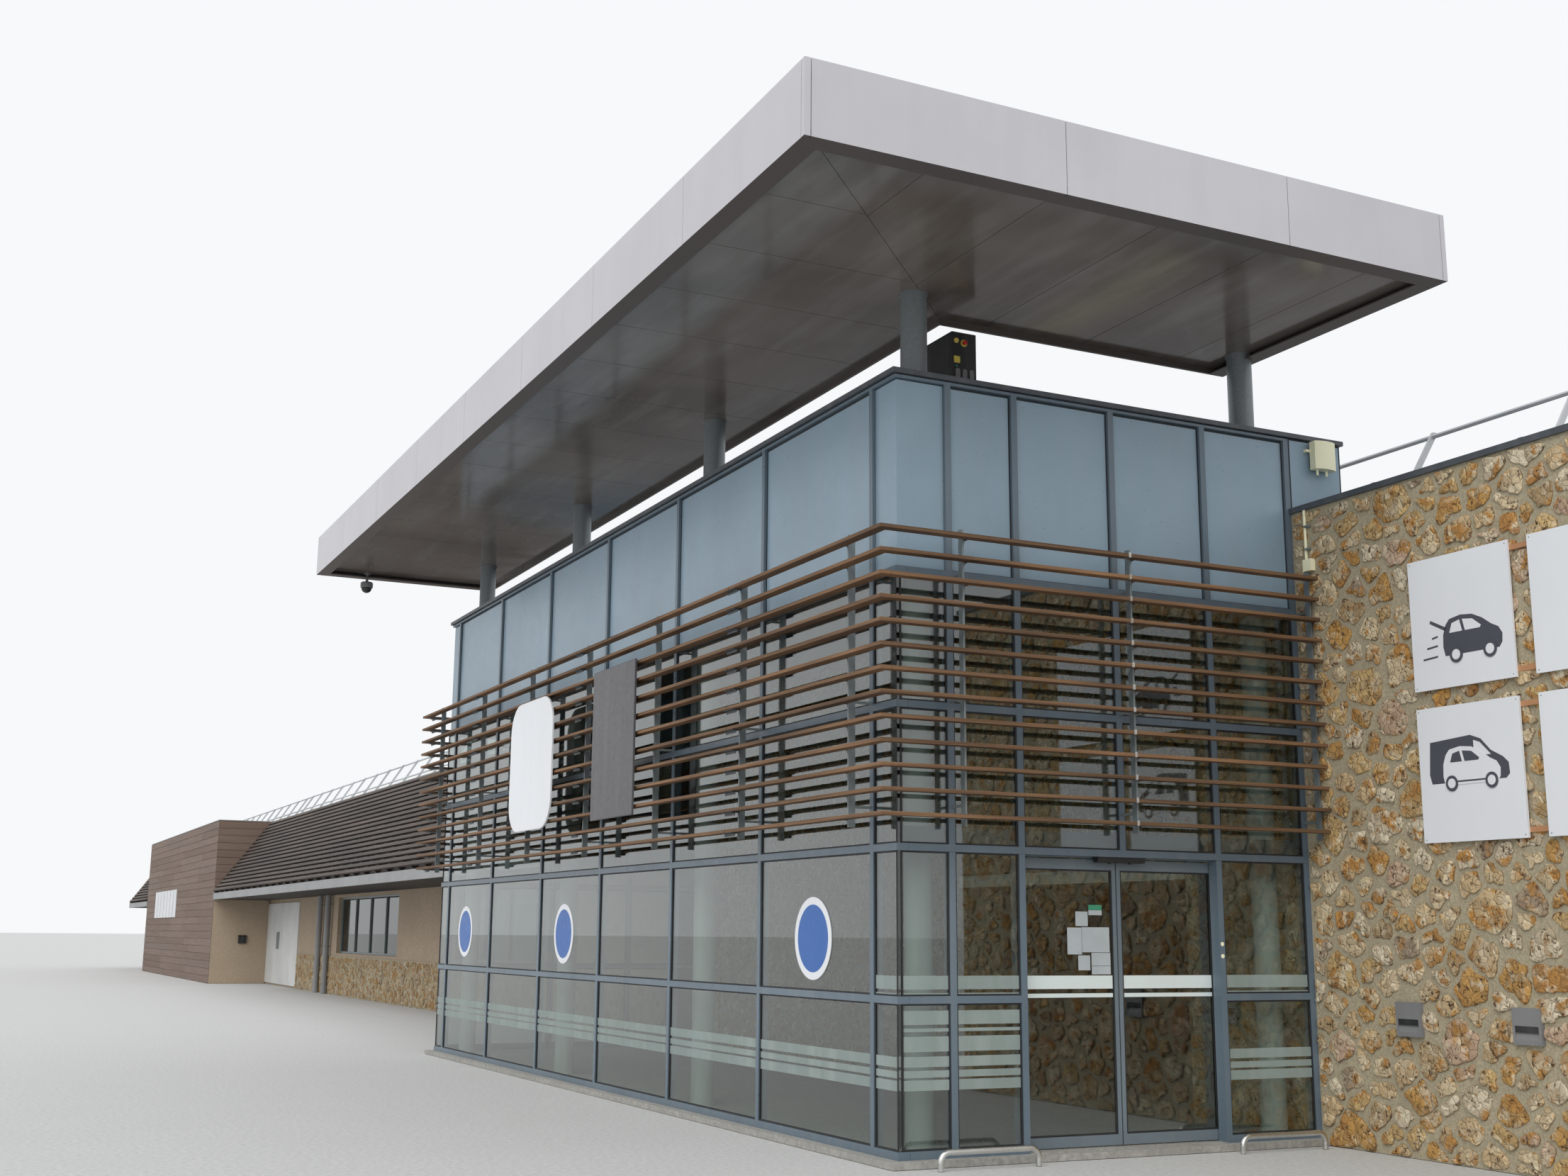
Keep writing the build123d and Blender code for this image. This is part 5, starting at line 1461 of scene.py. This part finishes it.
# %% Dome camera
dome_spot = (-0.546, 6.905, box_of("canopy_soffit")[0].z)
dome_radius, dome_down, dome_points, dome_step = 0.038, 0.104, 32, 6
dome = Pieces()
dome.turned(((0.026, 0.0), (0.026, 0.006), (0.010, 0.006), (0.010, 0.060), (dome_radius, 0.062),
             (0.045, 0.070), (0.045, 0.098), (0.042, dome_down)), dome_spot, downward, count=dome_points)
dome.place("camera_base", looks["light_grey_box"], slot="light_grey_box")
eye_ball = Pieces()
profile = [(dome_radius * math.cos(a), dome_down + dome_radius * math.sin(a)) for a in
           (math.radians(dome_step * k) for k in range(90 // dome_step))]
eye_ball.turned(profile, dome_spot, downward, count=dome_points)
eye_ball.place("camera_dome", looks["case_black"], slot="light_grey_box", smooth=True)

# %% [markdown]
# The dark case behind the first column is a small power box. Its front has a yellow lamp, a red
# button on a yellow collar, a green lamp, one square and three oval sockets. All of them are
# placed from the front's top left corner, as they would be measured on the real one.

# %% Lamps and button of the power case
case_low, case_high = box_of("equipment_case")


def on_case(along, down, out=0.0):
    """A point of the case's front face, measured from its top left corner."""
    return (case_low.x + along, case_low.y - out, case_high.z - down)


yellow = coated("yellow collar", (0.78, 0.60, 0.12), 0.4, runs=0.05)
red = coated("red button", (0.55, 0.03, 0.03), 0.35, runs=0.02)
lamp, collar, button, green_lamp = Pieces(), Pieces(), Pieces(), Pieces()
button_spot = on_case(0.058, 0.046)
lamp.turned(((0.012, 0.0), (0.012, 0.003), (0.009, 0.006)), on_case(0.021, 0.038), streetward)
lamp.block(on_case(0.007, 0.137, 0.006), on_case(0.037, 0.107, 0.0), bevel=0.002)
collar.turned(((0.0155, 0.0), (0.0155, 0.003), (0.011, 0.003), (0.011, 0.001)), button_spot, streetward)
button.turned(((0.007, 0.0), (0.007, 0.009), (0.010, 0.010), (0.010, 0.014), (0.008, 0.016)),
              button_spot, streetward)
green_lamp.turned(((0.005, 0.0), (0.005, 0.003), (0.003, 0.005)), on_case(0.020, 0.150), streetward,
                  count=16)
lamp.place("case_lamp_and_socket", yellow, slot="case_black")
collar.place("case_collar", yellow, slot="case_black")
button.place("case_button", red, slot="case_black")
green_lamp.place("case_green_lamp", green_paper, slot="case_black")

# %% Oval sockets of the power case
socket_radius, socket_points, socket_down, socket_proud = 0.011, 24, 0.182, 0.006
sockets = Pieces()
for along in (0.014, 0.048, 0.082):
    points = []
    for k in range(socket_points):
        angle = math.tau * k / socket_points
        end_shift = socket_radius if math.sin(angle) > 0 else -socket_radius
        points.append(on_case(along + socket_radius + socket_radius * math.cos(angle),
                              socket_down - end_shift - socket_radius * math.sin(angle)))
    sockets.prism(points, streetward, socket_proud)
sockets.place("case_sockets", looks["light_grey_box"], slot="case_black")

# %% [markdown]
# The far block is clad in level boards. They are butted at random lengths, each a little darker or
# paler, with a narrow shadow between rows. A stripe pattern would be enough from far away, but real
# boards with cut edges also show at the corners and catch the light.

# %% Boards on the block
block_parts = solids_in("block_walls")
block_top = max(high.z for low, high in block_parts) - 0.001
board_tall, board_space, board_proud, least_board = 0.1166, 0.009, 0.0065, 0.02
butt_gap, board_wrap, foot_gap, board_seed = 0.003, 0.006, 0.004, 11
above_beam = solids_in("wing_walls")[0][1].z + 0.1
chance = random.Random(board_seed)
cladding = Pieces()


def clad(pieces, face_axis, face, side, start, stop, from_z, joint_long=2.6):
    """Rows of boards on a wall between two places along it, from a height up to the block's top."""
    rows = int(block_top / board_tall) + 1
    for row in range(rows):
        z0 = max(row * board_tall, from_z)
        z1 = min((row + 1) * board_tall - board_space, block_top)
        if z1 - z0 < least_board:
            continue
        place = start
        while place < stop - 0.001:
            long = joint_long * chance.uniform(0.6, 1.4)
            end = stop if stop - place < long * 1.3 else place + long
            low, high = [0, 0, z0], [0, 0, z1]
            low[1 - face_axis], high[1 - face_axis] = place, end - butt_gap
            low[face_axis], high[face_axis] = sorted((face, face + side * board_proud))
            pieces.block(low, high, chance.random(), bevel=0.0016)
            place = end


west, near_side, far_side = block_parts
clad(cladding, 0, west[0].x, -1, west[0].y - board_wrap, west[1].y + board_wrap, foot_gap)
clad(cladding, 1, near_side[0].y, -1, west[0].x, near_side[1].x, above_beam)
clad(cladding, 1, far_side[1].y, 1, west[0].x, far_side[1].x, above_beam)
print("boards as far up as", round(block_top, 3))

# %% [markdown]
# Each board carries a random tone, as each stone does, and a smooth colour ramp turns it into one
# of a few close browns. The grain group darkens the streaks.

# %% Cladding finish
board_look, tree, shader, place = finish("block cladding", 0.7)
board_browns = ((0.0, (0.155, 0.102, 0.076)), (0.4, (0.182, 0.124, 0.094)),
                (0.75, (0.210, 0.148, 0.114)), (1.0, (0.176, 0.128, 0.102)))
own = tone_ramp(tree, tone_of(tree), board_browns, "LINEAR")
grain = use(tree, timber_grain, Across=90.0)
deep = blend(tree, ramp(tree, grain.outputs["Grain"], 0.30, 0.62, 0.55, 0.0), own, (0.070, 0.042, 0.030))
tree.links.new(deep, shader.inputs["Base Color"])
relief(tree, shader, grain.outputs["Grain"], 0.4, 0.003)
cladding.place("block_cladding", board_look, slot="block_boards")

# %% [markdown]
# Round the wing there are sills under the windows and brackets on the downpipes. A sill stands
# out from its wall, so the front ones reach to low X and those of the back wall to high X. The
# downpipes are the only solids of their node that are narrow both ways.

# %% Window sills and downpipe brackets
back_from, pipe_wide, sill_past, sill_tall = 5, 0.09, 0.01, 0.008
bracket_tall, arm_half = 0.012, 0.008
wing_bits = Pieces()
for low, high in solids_in("window_frames"):
    on_front = low.x < back_from
    x0, x1 = (low.x - 0.016, low.x + 0.012) if on_front else (high.x - 0.012, high.x + 0.045)
    wing_bits.block((x0, low.y - sill_past, low.z - sill_tall), (x1, high.y + sill_past, low.z),
                    bevel=0.002)
for low, high in solids_in("arcade_beam_and_cap"):
    if high.x - low.x < pipe_wide and high.y - low.y < pipe_wide:
        middle = (low + high) / 2
        for z in (0.12, 0.62, 1.18):
            wing_bits.turned(((0.043, 0.0), (0.043, bracket_tall)), (middle.x, middle.y, z), (0, 0, 1))
            wing_bits.block((middle.x + 0.035, middle.y - arm_half, z),
                            (middle.x + 0.062, middle.y + arm_half, z + bracket_tall))
print(len(wing_bits.faces), "faces of sills and brackets")

# %% [markdown]
# Screws run down both edges of every white panel, the third panel has a small hatch with a turn
# button, and a meter box with a sloped lid hangs at the start of the wing. The hatch is built shut,
# so its rim, its leaf and its button are enough.

# %% White panel screws, hatch and meter box
screw_rows, screw_side, screw_end = 5, 0.03, 0.04
wing_screws, dark_bits = Pieces(), Pieces()
white_panels = solids_in("white_panels")
for low, high in white_panels:
    for y in (low.y + screw_side, high.y - screw_side):
        for k in range(screw_rows):
            z = low.z + screw_end + k * (high.z - low.z - 2 * screw_end) / (screw_rows - 1)
            wing_screws.turned(((0.004, 0.0), (0.003, 0.0015)), (low.x, y, z), outward, count=8)
hatch_panel, hatch_rim, hatch_proud = white_panels[2][0], 0.008, 0.0025
hatch_low = Vector((hatch_panel.x, hatch_panel.y + 0.18, 0.55))
hatch_high = hatch_low + Vector((0, 0.24, 0.26))
rim(wing_bits, hatch_low, hatch_high, 0, -1, hatch_rim, 0.004)
wing_bits.block((hatch_low.x - hatch_proud, hatch_low.y + hatch_rim, hatch_low.z + hatch_rim),
                (hatch_low.x, hatch_high.y - hatch_rim, hatch_high.z - hatch_rim))
button_spot = (hatch_low.x - hatch_proud, hatch_high.y - 0.03, hatch_low.z + 0.13)
wing_screws.turned(((0.006, 0.0), (0.006, 0.003), (0.003, 0.005)), button_spot, outward, count=12)
lining_face, meter_top = solids_in("wing_walls")[0][0].y, 0.745
dark_bits.block((1.285, lining_face - 0.036, 0.625), (1.410, lining_face, meter_top), bevel=0.004)
lid = ((0.0, meter_top + 0.010), (0.046, meter_top), (0.0, meter_top))
dark_bits.prism([(1.280, lining_face - out, z) for out, z in lid], (1, 0, 0), 0.135)
wing_bits.place("wing_sills_and_clips", looks["window_metal"], slot="window_metal")
wing_screws.place("white_panel_screws", looks["stainless"], slot="white_panel")
dark_bits.place("meter_box", looks["case_black"], slot="case_black")

# %% [markdown]
# Dark upright vanes are drawn closed behind the windows of the back wall, so that the hall is dim.
# The photograph shows nothing of the back, but it does show that the way into the hall is dark.

# %% Blinds of the back windows
vanes = Pieces()
vane_wide, vane_thick, vane_gap, vane_share = 0.050, 0.0016, 0.014, 0.70
vane_lean, vane_play, vane_foot, vane_ends = 0.085, 0.01, 0.012, 0.040
back_windows = [pair for pair in solids_in("window_frames") if pair[0].x >= back_from]
for low, high in back_windows:
    count = math.ceil((high.y - low.y) / (vane_wide * vane_share))
    step = (high.y - low.y - 0.008) / count
    x, z = low.x - vane_gap - 0.010, low.z + vane_foot
    for k in range(count):
        y = low.y + 0.004 + (k + 0.5) * step
        lean = vane_lean + vane_play * math.sin(k * 2.1)
        reach = Vector((math.sin(lean), math.cos(lean))) * vane_wide / 2
        outline = [(x - reach.x, y - reach.y, z), (x + reach.x, y + reach.y, z),
                   (x + reach.x + vane_thick, y + reach.y, z), (x - reach.x + vane_thick, y - reach.y, z)]
        vanes.prism(outline, (0, 0, 1), high.z - low.z - vane_ends)
    vanes.block((low.x - 0.036, low.y + 0.003, high.z - 0.028),
                (low.x - 0.010, high.y - 0.003, high.z - 0.006), bevel=0.002)
blind_look = coated("blind cloth", (0.085, 0.085, 0.088), 0.8, runs=0.0)
vanes.place("back_window_blinds", blind_look, slot="window_metal")

# %% [markdown]
# Metal copings come in lengths. A thin cover strap bridges every joint of the stone wall's coping,
# once down its front and once over its top.

# %% Coping straps
strap_wide, strap_lift, strap_every, strap_end = 0.022, 0.0012, 0.75, 0.2
straps = Pieces()
low, high = box_of("stone_wall_coping")
y = low.y + strap_every
while y < high.y - strap_end:
    straps.block((low.x - strap_lift, y, low.z), (low.x, y + strap_wide, high.z))
    straps.block((low.x - strap_lift, y, high.z), (high.x, y + strap_wide, high.z + strap_lift))
    y += strap_every
straps.place("coping_straps", looks["dark_cap"], slot="dark_cap")

# %% [markdown]
# Membrane roofs are laid in strips, and some laps show as low welts. They are thin blocks on the
# roof: too thin for a form of their own, but they catch the light when seen from above.

# %% Roof welts
welt_tall, welt_wide, roof_edge, fields = 0.0025, 0.04, 0.01, 6
welts = Pieces()
low, high = box_of("hall_roof")
x = low.x + 0.6
while x < high.x - 0.2:
    welts.block((x, low.y + roof_edge, high.z), (x + 0.045, high.y - roof_edge, high.z + welt_tall))
    x += 2 * strip_wide
cross_welts = (("pavilion_roof", 0.35, box_of("pavilion_roof")[1].x - 0.25),
               ("canopy_deck", 0.03, box_of("canopy_deck")[0].x + 1.2))
for node, from_x, end in cross_welts:
    low, high = box_of(node)
    for k in range(1, fields):
        y = low.y + k * (high.y - low.y) / fields
        welts.block((low.x + from_x, y, high.z), (end, y + welt_wide, high.z + welt_tall))
welts.place("roof_welts", looks["roof_membrane"], slot="roof_membrane")

# %% [markdown]
# Long rendered walls are divided by narrow joint strips, because render cracks when it can't move.
# The unseen back wall gets only these, and none where a window is in the way.

# %% Joints of the rendered back wall
joint_every, joint_wide, joint_lift = 3.0, 0.012, 0.0012
joint_end, joint_room, joint_foot, joint_head = 1.0, 0.05, 0.08, 0.06
joints = Pieces()
back_low, back_high = box_of("back_wall")
y = back_low.y + joint_every
while y < back_high.y - joint_end:
    if all(abs(y - (low.y + high.y) / 2) - (high.y - low.y) / 2 > joint_room
           for low, high in back_windows):
        joints.block((back_high.x, y, joint_foot),
                     (back_high.x + joint_lift, y + joint_wide, back_high.z - joint_head))
    y += joint_every
joints.place("render_joints", looks["dark_cap"], slot="render_wall")

# %% [markdown]
# The guard rail's posts are bolted down, two bolts to a foot. Six corners are enough for a bolt
# head, which is a hexagon anyway.

# %% Guard rail bolts
post_every = 0.75
rail_bolts = Pieces()
rail_parts = solids_in("roof_guard_rail")
for low, high in rail_parts:
    count = int((high.y - low.y) // post_every) + 1
    for k in range(count):
        y = low.y + 0.02 + k * post_every
        if y < high.y:
            for x in (low.x + 0.012, low.x + 0.020):
                rail_bolts.turned(((0.004, 0.0), (0.004, 0.004)), (x, y, low.z + 0.006), (0, 0, 1), count=6)
rail_bolts.place("rail_bolts", looks["stainless"], slot="galvanised")

# %% [markdown]
# In the photograph the same rail goes on above the block. The solids' rail ends at the block, so
# leaning posts on flat feet and two tubes carry it on here, in line with the near part.

# %% Rail over the block
rail_low, rail_high = rail_parts[0]
rail_tall, rail_radius, post_thick, post_wide = 0.45, 0.010, 0.012, 0.030
foot_tall, foot_half, foot_long_half = 0.008, 0.035, 0.045
rail_reach = rail_high.x - rail_low.x - 0.06
rail_base = Vector((rail_low.x + foot_half, 0, rail_low.z))
rail_end = box_of("party_walls")[1].y - 0.30
rail_on = Pieces()
y = rail_high.y + 0.45
while y < rail_end:
    rail_on.block((rail_base.x - foot_half, y - foot_long_half, rail_base.z),
                  (rail_base.x + foot_half, y + foot_long_half, rail_base.z + foot_tall), bevel=0.002)
    post_side = ((-post_wide / 2, foot_tall), (post_wide / 2, foot_tall),
                 (post_wide / 2 + rail_reach, rail_tall), (-post_wide / 2 + rail_reach, rail_tall))
    rail_on.prism([(rail_base.x + far, y - post_thick / 2, rail_base.z + up) for far, up in post_side],
                  (0, 1, 0), post_thick)
    y += post_every
for share in (0.52, 1.0):
    spot = (rail_base.x + rail_reach * share, rail_high.y + 0.001, rail_base.z + rail_tall * share)
    rail_on.turned(((rail_radius, 0.0), (rail_radius, rail_end - rail_high.y)), spot, (0, 1, 0), count=10)
rail_on.place("guard_rail_over_block", pale_rail, slot="galvanised")

# %% [markdown]
# A pale folded cap closes the top of the slatted roof. It comes in lengths, with a narrow gap at
# each joint, and a small upstand behind the highest slat makes the pale line that the photograph
# shows along the ridge.

# %% Ridge cap
cap_lift, cap_every, cap_gap, cap_overlap, upstand = 0.0015, 1.5, 0.001, 0.012, 0.014
ridge_from, ridge_over, least_cap = 1.6, 2.56, 2.0
ridge = Pieces()
top_slat = max((high for low, high in solids_in("arcade_slats")), key=lambda spot: spot.z)
print("highest slat ends at", tuple(round(c, 3) for c in top_slat))
for low, high in solids_in("arcade_beam_and_cap"):
    if low.x > ridge_from and high.z > ridge_over and high.y - low.y > least_cap:
        y = low.y
        while y < high.y - 0.01:
            end = min(y + cap_every, high.y)
            y0, y1 = y + cap_gap, end - cap_gap
            ridge.block((low.x - cap_lift, y0, low.z - cap_overlap), (low.x, y1, high.z))
            ridge.block((low.x - cap_lift, y0, high.z), (high.x, y1, high.z + cap_lift))
            ridge.block((top_slat.x, y0, high.z + cap_lift),
                        (top_slat.x + cap_overlap, y1, top_slat.z + upstand))
            y = end
ridge_look = coated("ridge cap", (0.70, 0.69, 0.64), 0.45, runs=0.2, tone=0.05)
ridge.place("ridge_cap", ridge_look, slot="galvanised")

# %% [markdown]
# The floor is the stage. It is pale and almost without pattern, so that the eye stays with the
# building and its soft shade still shows where it stands.

# %% Floor finish
floor_look = masonry("pale floor", (0.62, 0.62, 0.61), tone=0.02, pit=0.02)
floor.data.materials.append(floor_look)
print("floor finish", floor_look.name)
